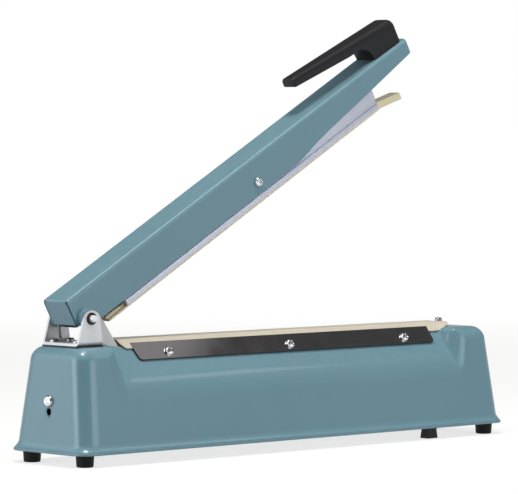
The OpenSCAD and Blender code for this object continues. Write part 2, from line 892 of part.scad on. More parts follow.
module terminal(x, s) {
  color([0.75, 0.6, 0.3]) difference() {
    translate([x + s * (term_l / 2 - term_screw), 0, top_z]) linear_extrude(seat_h)
      square([term_l, term_w], center = true);
    translate([x, 0, top_z - 1]) cylinder(d = m3 + 2 * pin_clear, h = seat_h + 2);
  }
}

module terminal_left() terminal(term_x0, -1);
module terminal_right() terminal(term_x1, 1);

module terminal_screws() {
  color(steel) for (x = [term_x0, term_x1]) translate([x, 0, seat_z + wire_t])
    pan_screw(m3, screw_l, term_head_d);
}

module cloth_edge(out, z) {
  way = [cos(shoulder_angle), -sin(shoulder_angle)];
  up = [sin(shoulder_angle), cos(shoulder_angle)];
  end = [ridge_w / 2, top_z] + out * up + cloth_flap * way;
  polygon([[-end[0], end[1]], [-slope_y(z, out), z], [slope_y(z, out), z], end]);
}

// Section of the cloth above a height: flat over the wire, with flaps down the shoulders
module cloth_section(low) {
  difference() {
    cloth_edge(lay_clear + cloth_t, cloth_top);
    cloth_edge(lay_clear, cloth_z);
    translate([-far / 2, low - far]) square([far, far]);
  }
}

module element_cloth() {
  flap_x0 = shoulder_x0 + shoulder_r;
  flap_x1 = shoulder_x1 - shoulder_r;
  color(beige) rotate([90, 0, 90]) {
    translate([0, 0, flap_x0]) linear_extrude(flap_x1 - flap_x0) cloth_section(top_z - cloth_flap);
    translate([0, 0, cloth_x0]) linear_extrude(cloth_x1 - cloth_x0) cloth_section(top_z + lay_clear);
  }
}

module clamp_plate(side) {
  color(steel) difference() {
    on_slope(side) translate([0, 0, clamp_z]) linear_extrude(clamp_t) {
      translate([clamp_x0, -clamp_up]) square([clamp_x1 - clamp_x0, clamp_w - clamp_corner]);
      polygon([[clamp_x0 - clamp_slant, -clamp_up], [clamp_x0 + clamp_corner, -clamp_up],
               [clamp_x0 + clamp_corner, clamp_w - clamp_up - clamp_corner],
               [clamp_x0, clamp_w - clamp_up - clamp_corner]]);
      translate([clamp_x0 + clamp_corner, -clamp_up])
        square([clamp_x1 - clamp_x0 - 2 * clamp_corner, clamp_w]);
      for (x = [clamp_x0 + clamp_corner, clamp_x1 - clamp_corner])
        translate([x, clamp_w - clamp_up - clamp_corner]) circle(clamp_corner);
    }
    at_clamp_screws(side) cylinder(d = m3 + 2 * pin_clear, h = 5);
  }
}

module clamp_plate_front() clamp_plate(-1);
module clamp_plate_back() clamp_plate(1);

module clamp_screws(side) {
  color(steel) at_clamp_screws(side) translate([0, 0, clamp_z + clamp_t]) pan_screw(m3, screw_l);
}

module clamp_screws_front() clamp_screws(-1);
module clamp_screws_back() clamp_screws(1);

module end_screw() {
  color(nickel) on_left_wall(rim_z + end_screw_h) translate([0, 0, lay_clear])
    pan_screw(m4, wall + nut_h + 2, end_head_d, end_head_h);
}

module end_nut() {
  color(nickel) on_left_wall(rim_z + end_screw_h) translate([0, 0, -wall - nut_h - lay_clear])
    nut(nut_d, nut_h, m4 + 2 * pin_clear);
}

// Works inside the housing

module at_core() {
  translate([core_x, 0, floor_z]) children();
}

module transformer_core() {
  color([0.35, 0.34, 0.33]) at_core() side_view(core_w) difference() {
    translate([-core_l / 2, 0]) square([core_l, core_h]);
    for (x = [-1, 1]) translate([x * 1.5 * leg_w, leg_w + window_h / 2])
      square([leg_w, window_h], center = true);
  }
}

module transformer_coil() {
  out = 4 * leg_w - 2 * run_clear;
  color([0.6, 0.35, 0.2]) at_core() translate([0, 0, leg_w + run_clear])
    linear_extrude(window_h - 2 * run_clear) difference() {
      rounded_rect(out, core_w + 2 * coil_bulge, coil_corner);
      square([2 * leg_w + 2 * run_clear, core_w + 2 * run_clear], center = true);
    }
}

module transformer_strap() {
  x = core_l / 2 + lay_clear;
  z = core_h + lay_clear;
  color(steel) difference() {
    at_core() side_view(strap_w) difference() {
      union() {
        translate([-x - strap_t, 0]) square([2 * (x + strap_t), z + strap_t]);
        translate([-x - strap_t - strap_flange, 0]) square([2 * (x + strap_t + strap_flange), strap_t]);
      }
      translate([-x, -1]) square([2 * x, z + 1]);
    }
    for (s = [-1, 1]) translate([core_x + s * strap_screw, 0, floor_z - 1])
      cylinder(d = m4 + 2 * pin_clear, h = strap_t + 2);
  }
}

module transformer_screws() {
  color(steel) for (s = [-1, 1]) translate([core_x + s * strap_screw, 0, floor_z + strap_t])
    pan_screw(m4, strap_t + plate_t);
}

module board_posts() {
  color(black) for (x = [-1, 1], y = [-1, 1])
    translate([board_x + x * (board_l / 2 - post_d), y * (board_w / 2 - post_d), floor_z])
      cylinder(d = post_d, h = post_h);
}

module timer_board() {
  color([0.2, 0.4, 0.25]) translate([board_x, 0, floor_z + post_h]) {
    translate([-board_l / 2, -board_w / 2, 0]) cube([board_l, board_w, board_t]);
    translate([relay_x - relay[0] / 2, -relay[1] / 2, board_t - eps]) cube(relay);
    for (y = [-1, 1]) translate([capacitor_x, y * capacitor_y, board_t - eps])
      cylinder(d = capacitor_d, h = capacitor_h);
  }
}

module potentiometer() {
  color(steel) on_back_wall(knob_x, knob_cz) difference() {
    union() {
      translate([0, 0, -wall - pot_l - lay_clear]) cylinder(d = pot_d, h = pot_l);
      translate([0, 0, -wall - lay_clear - eps]) cylinder(d = thread_d, h = wall + pot_nut_h + pot_thread);
    }
    translate([0, 0, -wall - pot_l + pot_floor]) cylinder(d = shaft_d + 2 * pin_clear, h = far);
  }
}

module potentiometer_nut() {
  color(nickel) on_back_wall(knob_x, knob_cz) translate([0, 0, lay_clear])
    nut(pot_nut_d, pot_nut_h, thread_d + 2 * pin_clear);
}

module indicator_lamp() {
  color([0.8, 0.15, 0.1]) on_back_wall(lamp_x, lamp_cz) translate([0, 0, lay_clear])
    pan_screw(lamp_d - 2 * lamp_bezel, wall + lamp_tail, lamp_d, lamp_dome);
}

module microswitch() {
  color(black) difference() {
    translate([switch_x - switch_l / 2, plunger_y - switch_w / 2, switch_z - switch_h])
      cube([switch_l, switch_w - lay_clear, switch_h]);
    translate([plunger_x, plunger_y, switch_z - switch_h + switch_floor])
      cylinder(d = button_d + 2 * pin_clear, h = switch_h);
    at_switch_screws() along_y(m3 + 2 * pin_clear, -switch_w, switch_w);
  }
}

module switch_screws() {
  color(steel) at_switch_screws() translate([0, -switch_w / 2, 0]) rotate([90, 0, 0])
    pan_screw(m3, switch_w + rib_t, small_head_d, small_head_h);
}

// Arm

module arm_side() {
  slope = atan((tip_v + arm_skirt) / (taper_l - tip_r));
  low = [arm_l - tip_r, tip_v + tip_r];
  high = [arm_l - tip_r, arm_top - tip_r];
  polygon(concat(
    [[-arm_tail, arm_top]],
    [[-arm_tail, flap_v], [spigot_d / 2 + 3, -arm_skirt], [taper_u, -arm_skirt]],
    [for (a = [-90 + slope:15:0]) low + tip_r * [cos(a), sin(a)]],
    [for (a = [0:15:90]) high + tip_r * [cos(a), sin(a)]]
  ));
}

module arm_section(w, top, r) {
  translate([-w / 2, -far]) square([w, far + top - r]);
  translate([-w / 2 + r, 0]) square([w - 2 * r, top]);
  for (y = [-1, 1]) translate([y * (w / 2 - r), top - r]) circle(r);
}

module along_arm(u0, u1) {
  translate([u0, 0, 0]) rotate([90, 0, 90]) linear_extrude(u1 - u0) children();
}

// Plan of the channel, with the corners of its nose rounded
module nose_plan(w, u1, r) {
  translate([u1 - arm_l, 0, -far]) linear_extrude(2 * far) rounded_rect(2 * arm_l, w, r);
}

module arm_channel() {
  color(paint) on_arm() difference() {
    intersection() {
      side_view(arm_w) arm_side();
      along_arm(-arm_tail, arm_l) arm_section(arm_w, arm_top, fold_r);
      nose_plan(arm_w, arm_l, nose_r);
    }
    intersection() {
      along_arm(-arm_tail + arm_t, arm_l - arm_t)
        arm_section(2 * arm_in, arm_top - arm_t, max(fold_r - arm_t, 0.3));
      nose_plan(2 * arm_in, arm_l - arm_t, nose_r - arm_t);
    }
    along_y(spigot_d + 2 * pin_clear, -arm_w, arm_w);
    translate([cross_u, 0, bar_mid_v]) along_y(m4 + 2 * pin_clear, -arm_w, arm_w);
    at_handle_screws() cylinder(d = m3 + 2 * pin_clear, h = 10, center = true);
    flap_slits();
  }
}

// Slits that part the rear flap from the sides, with a relief hole at each corner
module flap_slits() {
  for (y = [-1, 1]) translate([-arm_tail - 1, y * (arm_in - flap_slit / 2), arm_top - fold_r]) {
    translate([0, -flap_slit / 2, -far]) cube([arm_t + 1 + eps, flap_slit, far]);
    rotate([0, 90, 0]) cylinder(d = relief_d, h = arm_t + 1 + eps);
  }
}

module pivot_bush(s) {
  color(paint) on_arm() mirror([0, s < 0 ? 1 : 0, 0]) difference() {
    union() {
      along_y(bush_d, arm_w / 2 + lay_clear, ear_in - run_clear);
      along_y(spigot_d, arm_in - bush_in + arm_t, arm_w / 2 + lay_clear + eps);
    }
    along_y(pin_d + 2 * pin_clear, 0, bracket_w);
  }
}

module pivot_bush_front() pivot_bush(-1);
module pivot_bush_back() pivot_bush(1);

module pressure_bar() {
  slot = strip_t - strip_show + lay_clear;
  color([0.8, 0.8, 0.85]) on_arm() difference() {
    along_arm(bar_u0, bar_u1) difference() {
      translate([-bar_w / 2, bar_v]) square([bar_w, bar_h]);
      translate([-strip_w / 2 - lay_clear, bar_v - 1]) square([strip_w + 2 * lay_clear, slot + 1]);
      for (y = [-1, 1]) translate([y * bar_w / 2, bar_v + groove_v])
        square([2 * groove_d, groove_h], center = true);
    }
    translate([cross_u, 0, bar_mid_v]) along_y(m4 + 2 * pin_clear, -bar_w, bar_w);
  }
}

module silicone_strip() {
  color(beige) on_arm() along_arm(strip_u0, strip_u1)
    translate([-strip_w / 2, strip_v]) square([strip_w, strip_t]);
}

module at_cross() {
  on_arm() translate([cross_u, 0, bar_mid_v]) children();
}

module cross_screw() {
  color(nickel) at_cross() translate([0, -arm_w / 2 - lay_clear, 0]) rotate([90, 0, 0])
    pan_screw(m4, arm_w + nut_h + 1);
}

module cross_nut() {
  color(nickel) at_cross() translate([0, arm_w / 2 + lay_clear, 0]) rotate([-90, 0, 0])
    nut(nut_d, nut_h, m4 + 2 * pin_clear);
}

module bar_spacers() {
  color(steel) at_cross() for (s = [0, 1]) mirror([0, s, 0]) difference() {
    along_y(spacer_d, bar_w / 2 + lay_clear, arm_in - lay_clear);
    along_y(m4 + 2 * pin_clear, 0, arm_w);
  }
}

module at_handle_screws() {
  for (k = [0.3, 0.75]) translate([root_u0 + k * root_l, 0, arm_top]) children();
}

// Side view of the handle: root on the arm, round-ended finger gap, straight grip with a flat free end
module handle_side() {
  drop = tan(handle_fall);
  nose = [root_u1 - front_r, handle_z1 - front_r];
  gap = [root_u0 - gap_r, arm_top + gap_lift];
  end_top = [grip_u0 + end_r, handle_z0 - end_r - end_r * drop];
  end_low = [grip_u0 + end_r, handle_z0 - grip_t + end_r];
  under_u = root_u0 - gap_r * gap_start;
  under = [under_u, handle_z0 - (under_u - grip_u0) * drop - grip_t * grip_swell];
  polygon(concat(
    [[root_u1, arm_top]],
    [for (a = [0:15:90]) nose + front_r * [cos(a), sin(a)]],
    [for (a = [90:30:180]) end_top + end_r * [cos(a), sin(a)]],
    [for (a = [180:30:270]) end_low + end_r * [cos(a), sin(a)]],
    [under],
    [for (a = [95:-12:-2]) gap + gap_r * [cos(a), sin(a)]],
    [[root_u0, arm_top]]
  ));
}

// One flank of the handle with its rounded upper edge, all that lies inside it
module handle_flank() {
  top = handle_z1 * cos(handle_fall) + root_u1 * sin(handle_fall) + eps;
  end_u = grip_u0 * cos(handle_fall) - handle_z0 * sin(handle_fall);
  rotate([0, handle_fall, 0]) translate([end_u, grip_w / 2, 0]) rotate([0, 0, handle_flare])
    along_arm(-far, far) {
      translate([-far, -far]) square([far, far + top - edge_r]);
      translate([-far, 0]) square([far - edge_r, top]);
      translate([-edge_r, top - edge_r]) circle(edge_r);
    }
}

// View of the handle from above: wide enough all along, with round corners at the front
module handle_plan() {
  translate([root_u1 - handle_l, 0, 0]) linear_extrude(far) rounded_rect(2 * handle_l, root_w, front_corner);
}

module handle() {
  color(black) on_arm() difference() {
    intersection() {
      side_view(root_w + 1) handle_side();
      handle_flank();
      mirror([0, 1, 0]) handle_flank();
      handle_plan();
    }
    at_handle_screws() cylinder(d = m3 + 2 * pin_clear, h = 20, center = true);
  }
}

module handle_screws() {
  color(steel) on_arm() at_handle_screws() translate([0, 0, -arm_t - lay_clear]) mirror([0, 0, 1])
    pan_screw(m3, screw_l + arm_t, small_head_d, small_head_h);
}

module switch_striker() {
  y0 = -arm_in + lay_clear;
  color(steel) on_arm() translate([striker_u0, y0, -striker_drop]) {
    cube([striker_l, striker_t, striker_drop + striker_up]);
    cube([striker_l, plunger_y - y0 + plunger_d / 2, striker_t]);
  }
}

// Timer knob

module timer_knob() {
  grip_r = knob_d / 2;
  bore_r = shaft_d / 2 + pin_clear;
  sink_r = pot_nut_d / cos(30) / 2 + run_clear;
  top_r1 = grip_r - skirt_w;
  color(black) on_back_wall(knob_x, knob_cz) translate([0, 0, knob_gap]) difference() {
    rotate_extrude() polygon([
      [bore_r, knob_h - knob_top], [bore_r, knob_sink], [sink_r, knob_sink], [sink_r, 0], [grip_r, 0],
      [grip_r, skirt_h], [top_r1, skirt_h + pointer_d], [top_r1 - skirt_w / 2, knob_h - knob_top / 2],
      [top_r1 - skirt_w, knob_h], [0, knob_h], [0, knob_h - knob_top]
    ]);
    for (i = [0:flutes - 1]) rotate([0, 0, i * 360 / flutes])
      translate([top_r1 + pointer_d, 0, skirt_h + 2 * pointer_d]) cylinder(d = flute_d, h = knob_h);
    translate([grip_r / 2, 0, knob_h]) cube([grip_r / 2, pointer_w, 2 * pointer_d], center = true);
  }
}

module timer_shaft() {
  end = knob_gap + knob_h - knob_top - lay_clear;
  color(steel) on_back_wall(knob_x, knob_cz) translate([0, 0, -wall - pot_l + pot_floor + run_clear])
    cylinder(d = shaft_d, h = wall + pot_l - pot_floor - run_clear + end);
}

// Switch plunger

module switch_plunger() {
  collar_z = guide_z - run_clear - collar_h;
  color(black) translate([plunger_x, plunger_y, 0]) {
    translate([0, 0, plunger_z]) cylinder(d = plunger_d, h = plunger_top - plunger_z);
    translate([0, 0, collar_z]) cylinder(d = collar_d, h = collar_h);
  }
}

module switch_button() {
  color("red") translate([plunger_x, plunger_y, plunger_z - button_l]) cylinder(d = button_d, h = button_l);
}

body_shell();
base_plate();
foot_front_left();
foot_front_right();
foot_rear_left();
foot_rear_right();
foot_screws();
cord_gland();
gland_nut();
hinge_bracket();
bracket_gasket();
bracket_screws();
hinge_pin();
pin_clips();
spring_sleeve();
arm_spring();
seat_bar();
heating_element();
terminal_left();
terminal_right();
terminal_screws();
element_cloth();
clamp_plate_front();
clamp_plate_back();
clamp_screws_front();
clamp_screws_back();
end_screw();
end_nut();
transformer_core();
transformer_coil();
transformer_strap();
transformer_screws();
timer_board();
board_posts();
potentiometer();
potentiometer_nut();
indicator_lamp();
microswitch();
switch_screws();
arm_channel();
pivot_bush_front();
pivot_bush_back();
pressure_bar();
silicone_strip();
cross_screw();
cross_nut();
bar_spacers();
handle();
handle_screws();
switch_striker();
timer_knob();
timer_shaft();
switch_plunger();
switch_button();
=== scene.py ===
# %% [markdown]
# # A hand impulse sealer
# A hand impulse sealer welds plastic bags. A painted housing carries a hot wire under a
# non-stick cloth, and a sprung arm presses a soft strip down on it. The CAD model gives every
# piece its place, so this lesson only has to give the pieces their true surfaces and finishes.
# Everything is worked out in millimetres and turned into metres when a mesh is made.

# %% Load the frame
import json
import math

import bmesh
import bpy
import numpy as np
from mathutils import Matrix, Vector


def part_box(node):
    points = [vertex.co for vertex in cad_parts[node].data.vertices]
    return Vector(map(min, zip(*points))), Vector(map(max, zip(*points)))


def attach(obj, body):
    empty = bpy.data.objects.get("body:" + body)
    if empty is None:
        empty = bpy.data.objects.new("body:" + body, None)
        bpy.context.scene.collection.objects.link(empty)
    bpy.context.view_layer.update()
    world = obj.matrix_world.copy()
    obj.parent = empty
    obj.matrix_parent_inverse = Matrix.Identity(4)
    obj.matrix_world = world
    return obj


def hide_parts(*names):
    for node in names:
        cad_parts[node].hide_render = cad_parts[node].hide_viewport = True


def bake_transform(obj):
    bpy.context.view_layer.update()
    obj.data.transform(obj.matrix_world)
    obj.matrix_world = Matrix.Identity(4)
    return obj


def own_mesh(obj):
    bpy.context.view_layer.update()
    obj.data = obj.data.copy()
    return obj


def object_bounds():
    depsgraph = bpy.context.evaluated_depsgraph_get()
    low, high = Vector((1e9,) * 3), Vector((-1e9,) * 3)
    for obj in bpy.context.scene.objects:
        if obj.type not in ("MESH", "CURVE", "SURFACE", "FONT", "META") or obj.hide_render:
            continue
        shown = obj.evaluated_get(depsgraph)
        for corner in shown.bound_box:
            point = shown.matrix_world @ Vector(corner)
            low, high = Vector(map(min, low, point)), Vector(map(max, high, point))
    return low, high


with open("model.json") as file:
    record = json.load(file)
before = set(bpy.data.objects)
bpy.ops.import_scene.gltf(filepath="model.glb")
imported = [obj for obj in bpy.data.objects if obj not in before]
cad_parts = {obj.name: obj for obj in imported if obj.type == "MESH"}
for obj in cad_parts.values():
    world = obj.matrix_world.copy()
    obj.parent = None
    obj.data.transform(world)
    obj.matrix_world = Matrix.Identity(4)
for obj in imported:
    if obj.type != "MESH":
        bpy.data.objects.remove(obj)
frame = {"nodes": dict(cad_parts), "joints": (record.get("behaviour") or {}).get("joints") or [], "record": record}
CAD_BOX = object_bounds()
MM = 0.001
QUARTER = np.pi / 2
NODES = frame["nodes"]
HINGE = next(joint for joint in frame["joints"] if joint["name"] == "arm_hinge")
OPEN = math.radians(HINGE["range_deg"][1])
SCENE = bpy.context.scene

# %% [markdown]
# ## Camera
# The photograph was taken from far away with a long lens, a little above the table. The place,
# the direction and the lens come from fitting a pinhole camera to the rim, the feet and the arm.

# %% Camera
IMAGE_W = 518
FOCAL_PX = 3797.4
SENSOR_MM = 36.0
CAMERA_PLACE = Vector((-1.84237, -1.94952, 0.24016))
CAMERA_WAY = Vector((0.684808, 0.727799, -0.036695))


def linked(name, data):
    """Object for a mesh, a lamp or a camera, put into the scene."""
    made = bpy.data.objects.new(name, data)
    SCENE.collection.objects.link(made)
    return made


def look(made, place, way):
    """Stand an object at a place and let it look along a direction."""
    made.location = place
    made.rotation_mode = "QUATERNION"
    made.rotation_quaternion = way.to_track_quat("-Z", "Y")


camera_data = bpy.data.cameras.new("camera")
camera_data.sensor_width = SENSOR_MM
camera_data.lens = FOCAL_PX * SENSOR_MM / IMAGE_W
SCENE.camera = linked("camera", camera_data)
look(SCENE.camera, CAMERA_PLACE, CAMERA_WAY)
SCENE.view_settings.view_transform = "Standard"
print("lens:", round(camera_data.lens, 1), "mm")


# %% [markdown]
# ## Shader helpers
# Materials here are node trees. Small helpers keep them readable: one adds a node and feeds its
# sockets, the others stand for nodes that come up again and again.

# %% Shader helpers
def feed(tree, socket, value):
    """Give a socket a link or a plain value; a plain colour gets its alpha."""
    if isinstance(value, bpy.types.NodeSocket):
        tree.links.new(value, socket)
    else:
        socket.default_value = (*value, 1.0) if socket.type == "RGBA" else value


def node(tree, kind, inputs, **settings):
    """Add a shader node. Settings are its properties; inputs maps a socket to a value or a link."""
    made = tree.nodes.new("ShaderNode" + kind)
    for key, value in settings.items():
        setattr(made, key, value)
    for key, value in inputs.items():
        feed(tree, made.inputs[key], value)
    return made


def maths(tree, operation, *values):
    """Result of a sum on links or numbers."""
    return node(tree, "Math", dict(enumerate(values)), operation=operation).outputs[0]


def noise(tree, place, scale, detail):
    """Soft random value that changes with the place."""
    return node(tree, "TexNoise", {"Vector": place, "Scale": scale, "Detail": detail}).outputs["Fac"]


def smooth(tree, value, span, ends):
    """Value that goes smoothly from one end to the other while a given one crosses a span."""
    return node(tree, "MapRange", {"Value": value, "From Min": span[0], "From Max": span[1],
                                   "To Min": ends[0], "To Max": ends[1]},
                interpolation_type="SMOOTHSTEP").outputs["Result"]


def ramp(tree, value, stops):
    """Colour ramp through grey stops, each a position and a brightness."""
    made = node(tree, "ValToRGB", {"Fac": value})
    elements = made.color_ramp.elements
    while len(elements) < len(stops):
        elements.new(0.5)
    for element, (place, grey) in zip(elements, stops):
        element.position = place
        element.color = (grey, grey, grey, 1.0)
    return made.outputs["Color"]


def blended(tree, share, first, second):
    """Colour between two colours or links, by a share that is a link."""
    return node(tree, "Mix", {0: share, 6: first, 7: second}, data_type="RGBA").outputs[2]


def looking_up(tree):
    """How far a face looks up: the height of its normal."""
    normal = node(tree, "NewGeometry", {}).outputs["Normal"]
    return node(tree, "SeparateXYZ", {"Vector": normal}).outputs["Z"]


def ray_kinds(tree):
    """The Light Path's outputs, and a value that is one for mirrored and for refracted rays."""
    path = node(tree, "LightPath", {}).outputs
    return path, maths(tree, "MAXIMUM", path["Is Glossy Ray"], path["Is Transmission Ray"])


def new_finish(name, sockets):
    """Start a material: returns it with its tree, its shader and its Object coordinates."""
    material = bpy.data.materials.new(name)
    material.use_nodes = True
    tree = material.node_tree
    shader = tree.nodes["Principled BSDF"]
    for key, value in sockets.items():
        feed(tree, shader.inputs[key], value)
    return material, tree, shader, node(tree, "TexCoord", {}).outputs["Object"]


# %% [markdown]
# ## Studio
# The photograph shows the sealer on pure white, and its highlights tell where the lamps stand. One
# lamp hangs overhead, and two weak ones stand high in front. A large panel behind on the left
# lights the end wall, and a smaller one in front on the right the long wall; the upright corner
# between them stays dark, because nothing bright stands behind the camera. Four more panels draw
# highlights: on the arm's fold, at the corner and on the clamp strip. The world is white to the
# camera, and the floor glows just enough to reach white and keep its shadow.

# %% Studio
WORLD_LIGHT = 0.17
CEILING = [(0.0, 0.90), (0.51, 0.80), (0.55, 0.35), (0.64, 0.20), (0.74, 0.09), (0.82, 0.075), (1.0, 0.08)]
CAMERA_SIDE = (-0.685, -0.728, 0.0)
DARK_SPAN, DARK_SHARE = (0.62, 0.92), 0.05
FLOOR_REACH, FLOOR_GLOW, FLOOR_GREY, FLOOR_SPAN = 30.0, 0.68, 0.32, (0.45, 2.6)
# Each lamp: direction, distance, size, power, colour, then whether it lights surfaces and is mirrored
LAMPS = {
    "lamp_key": ((-0.26, -0.62, 0.74), 2.0, (0.5, 0.5), 2.0, (1.0, 0.985, 0.97), (True, False)),
    "lamp_fill": ((0.50, -0.60, 0.62), 1.8, (0.6, 0.6), 8.0, (1.0, 0.99, 0.97), (True, False)),
    "lamp_over": ((-0.22, -0.18, 0.96), 1.6, (0.4, 0.4), 17.8, (1.0, 0.955, 0.86), (True, True)),
    "panel_fold": ((0.06, 0.03, 0.99), 1.6, (0.5, 0.5), 4.0, (1.0, 1.0, 1.0), (False, True)),
    "panel_left": ((-0.90, 0.35, 0.26), 1.5, (2.0, 1.6), 18.0, (0.86, 0.95, 1.0), (True, True)),
    "panel_edge": ((-0.98, 0.14, 0.14), 1.4, (0.66, 1.0), 7.5, (0.88, 0.95, 1.0), (False, True)),
    "panel_front": ((0.29, -0.945, 0.14), 1.5, (0.82, 0.6), 5.2, (0.82, 0.93, 1.0), (True, True)),
    "panel_side": ((0.638, -0.498, 0.588), 1.47, (0.4, 0.14), 0.5, (0.90, 0.95, 1.0), (True, True)),
    "panel_high": ((0.529, -0.203, 0.824), 1.4, (0.7, 0.56), 0.36, (1.0, 0.97, 0.97), (True, True)),
}


def studio_world():
    """White for the camera; for glossy and clear rays a ramp on height, dark on the camera's side."""
    world = bpy.data.worlds.new("studio")
    world.use_nodes = True
    tree = world.node_tree
    path, shiny = ray_kinds(tree)
    way = node(tree, "TexCoord", {}).outputs["Generated"]
    height = node(tree, "SeparateXYZ", {"Vector": way}).outputs["Z"]
    share = node(tree, "MapRange", {"Value": height, "From Min": -1.0, "From Max": 1.0}).outputs["Result"]
    facing = node(tree, "VectorMath", {0: way, 1: CAMERA_SIDE}, operation="DOT_PRODUCT").outputs["Value"]
    dark = smooth(tree, facing, DARK_SPAN, (1.0, DARK_SHARE))
    room = node(tree, "VectorMath", {0: ramp(tree, share, CEILING), "Scale": dark}, operation="SCALE")
    lit = blended(tree, shiny, [WORLD_LIGHT] * 3, room.outputs[0])
    white = blended(tree, path["Is Camera Ray"], lit, (1.0, 1.0, 1.0))
    feed(tree, tree.nodes["Background"].inputs["Color"], white)
    SCENE.world = world


def studio_lamp(name, way, distance, size, power, colour, shown):
    """Soft panel that stands a distance from the object's middle and looks at it."""
    data = bpy.data.lights.new(name, "AREA")
    data.shape = "RECTANGLE"
    data.size, data.size_y = size
    data.energy, data.color = power, colour
    lamp = linked(name, data)
    way = Vector(way).normalized()
    look(lamp, (CAD_BOX[0] + CAD_BOX[1]) / 2 + way * distance, -way)
    lamp.visible_diffuse, lamp.visible_glossy = shown
    lamp.visible_camera = False


def studio_floor():
    """Pale floor that glows to the camera and in mirrors, more with distance, so that only shadow
    brings it below white."""
    mesh = bpy.data.meshes.new("floor")
    corners = [(-1, -1), (1, -1), (1, 1), (-1, 1)]
    mesh.from_pydata([(x * FLOOR_REACH, y * FLOOR_REACH, 0) for x, y in corners], [], [(0, 1, 2, 3)])
    floor = linked("floor", mesh)
    material, tree, shader, place = new_finish("pale_floor", {
        "Base Color": [FLOOR_GREY] * 3, "Roughness": 0.9, "Specular IOR Level": 0.0,
        "Emission Color": (1.0, 1.0, 1.0)})
    away = node(tree, "VectorMath", {0: place}, operation="LENGTH").outputs["Value"]
    path, shiny = ray_kinds(tree)
    shown = maths(tree, "MAXIMUM", path["Is Camera Ray"], shiny)
    glow = smooth(tree, away, FLOOR_SPAN, (FLOOR_GLOW, 1.0))
    feed(tree, shader.inputs["Emission Strength"], maths(tree, "MULTIPLY", shown, glow))
    mesh.materials.append(material)


studio_world()
for name, values in LAMPS.items():
    studio_lamp(name, *values)
studio_floor()
print("lamps:", len(LAMPS))


# %% [markdown]
# ## Effects that several finishes share
# Paint, plated metal, moulded plastic and rubber all vary over their surface. Each effect is one
# node group that puts out masks and heights only: the materials decide what to do with them.

# %% Shared effects
def effect(build, **values):
    """Shader group made by a function: a Vector and some values go in, what it returns comes out."""
    made = bpy.data.node_groups.new(build.__name__, "ShaderNodeTree")
    for key, value in {"Vector": (0.0, 0.0, 0.0), **values}.items():
        kind = "NodeSocketFloat" if isinstance(value, float) else "NodeSocketVector"
        made.interface.new_socket(key, in_out="INPUT", socket_type=kind).default_value = value
    ends = build(made, made.nodes.new("NodeGroupInput").outputs)
    for key in ends:
        made.interface.new_socket(key, in_out="OUTPUT", socket_type="NodeSocketFloat")
    out = made.nodes.new("NodeGroupOutput").inputs
    for key, value in ends.items():
        feed(made, out[key], value)
    return made


def paint_skin(tree, given):
    """Orange peel: a fine soft noise for height and a broad one for tone."""
    return {"Height": noise(tree, given["Vector"], given["Grain"], detail=1.5),
            "Tone": noise(tree, given["Vector"], scale=22.0, detail=3.0)}


def drawn_lines(tree, given):
    """Lines left by drawing or brushing: noise stretched along one way, and broad smudges."""
    along = node(tree, "VectorMath", {0: given["Vector"], 1: given["Stretch"]}, operation="MULTIPLY")
    return {"Height": noise(tree, along.outputs[0], scale=1.0, detail=3.0),
            "Smudge": noise(tree, given["Vector"], scale=55.0, detail=4.0)}


def moulded_grain(tree, given):
    """Spark-eroded mould grain: small rounded cells, and a broad noise for worn, polished places."""
    cells = node(tree, "TexVoronoi", {"Vector": given["Vector"], "Scale": given["Grain"]},
                 feature="SMOOTH_F1")
    return {"Height": cells.outputs["Distance"],
            "Worn": noise(tree, given["Vector"], scale=40.0, detail=4.0)}


def settled_dust(tree, given):
    """Dust that settles on faces that look up: the normal's height times a broken noise."""
    facing = ramp(tree, looking_up(tree), [(0.35, 0.0), (0.95, 1.0)])
    speck = ramp(tree, noise(tree, given["Vector"], scale=180.0, detail=6.0), [(0.42, 0.0), (0.70, 1.0)])
    return {"Mask": maths(tree, "MULTIPLY", maths(tree, "MULTIPLY", facing, speck), given["Amount"])}


def plain_weave(tree, given):
    """Plain weave on a UV map counted in threads: warp and weft are sine ridges that take turns."""
    split = node(tree, "SeparateXYZ", {"Vector": given["Vector"]}).outputs
    ridges = [maths(tree, "SINE", maths(tree, "MULTIPLY", split[axis], math.pi)) for axis in "XY"]
    over = maths(tree, "MULTIPLY", *ridges)
    return {"Height": over, "Gap": ramp(tree, maths(tree, "ABSOLUTE", over), [(0.02, 1.0), (0.22, 0.0)])}


SKIN = effect(paint_skin, Grain=700.0)
LINES = effect(drawn_lines, Stretch=(900.0, 20.0, 900.0))
GRAIN = effect(moulded_grain, Grain=1400.0)
DUST = effect(settled_dust, Amount=0.2)
WEAVE = effect(plain_weave)
print("effects:", ", ".join(made.name for made in (SKIN, LINES, GRAIN, DUST, WEAVE)))


# %% [markdown]
# ## Finishes
# A finish starts from a Principled BSDF. Numbers that are the same all over go straight on its
# sockets; what varies comes from the groups through ramps and mixes.

# %% Finish helpers
NOISE_SPAN = (0.2, 0.8)
PAINT_DUST, BLACK_DUST = (0.62, 0.66, 0.66), (0.42, 0.41, 0.40)


def placed(tree, shared, place, **values):
    """Put a shared effect into a material with its own values."""
    return node(tree, "Group", {"Vector": place, **values}, node_tree=shared).outputs


def ranged(tree, share, low, high):
    """Value between two numbers, by a noise."""
    return smooth(tree, share, NOISE_SPAN, (low, high))


def shade(colour, factor):
    """A colour made lighter or darker."""
    return [min(1.0, channel * factor) for channel in colour]


def toned(tree, share, colour, low, high):
    """Colour between a darker and a lighter shade of itself, by a noise."""
    return blended(tree, share, shade(colour, low), shade(colour, high))


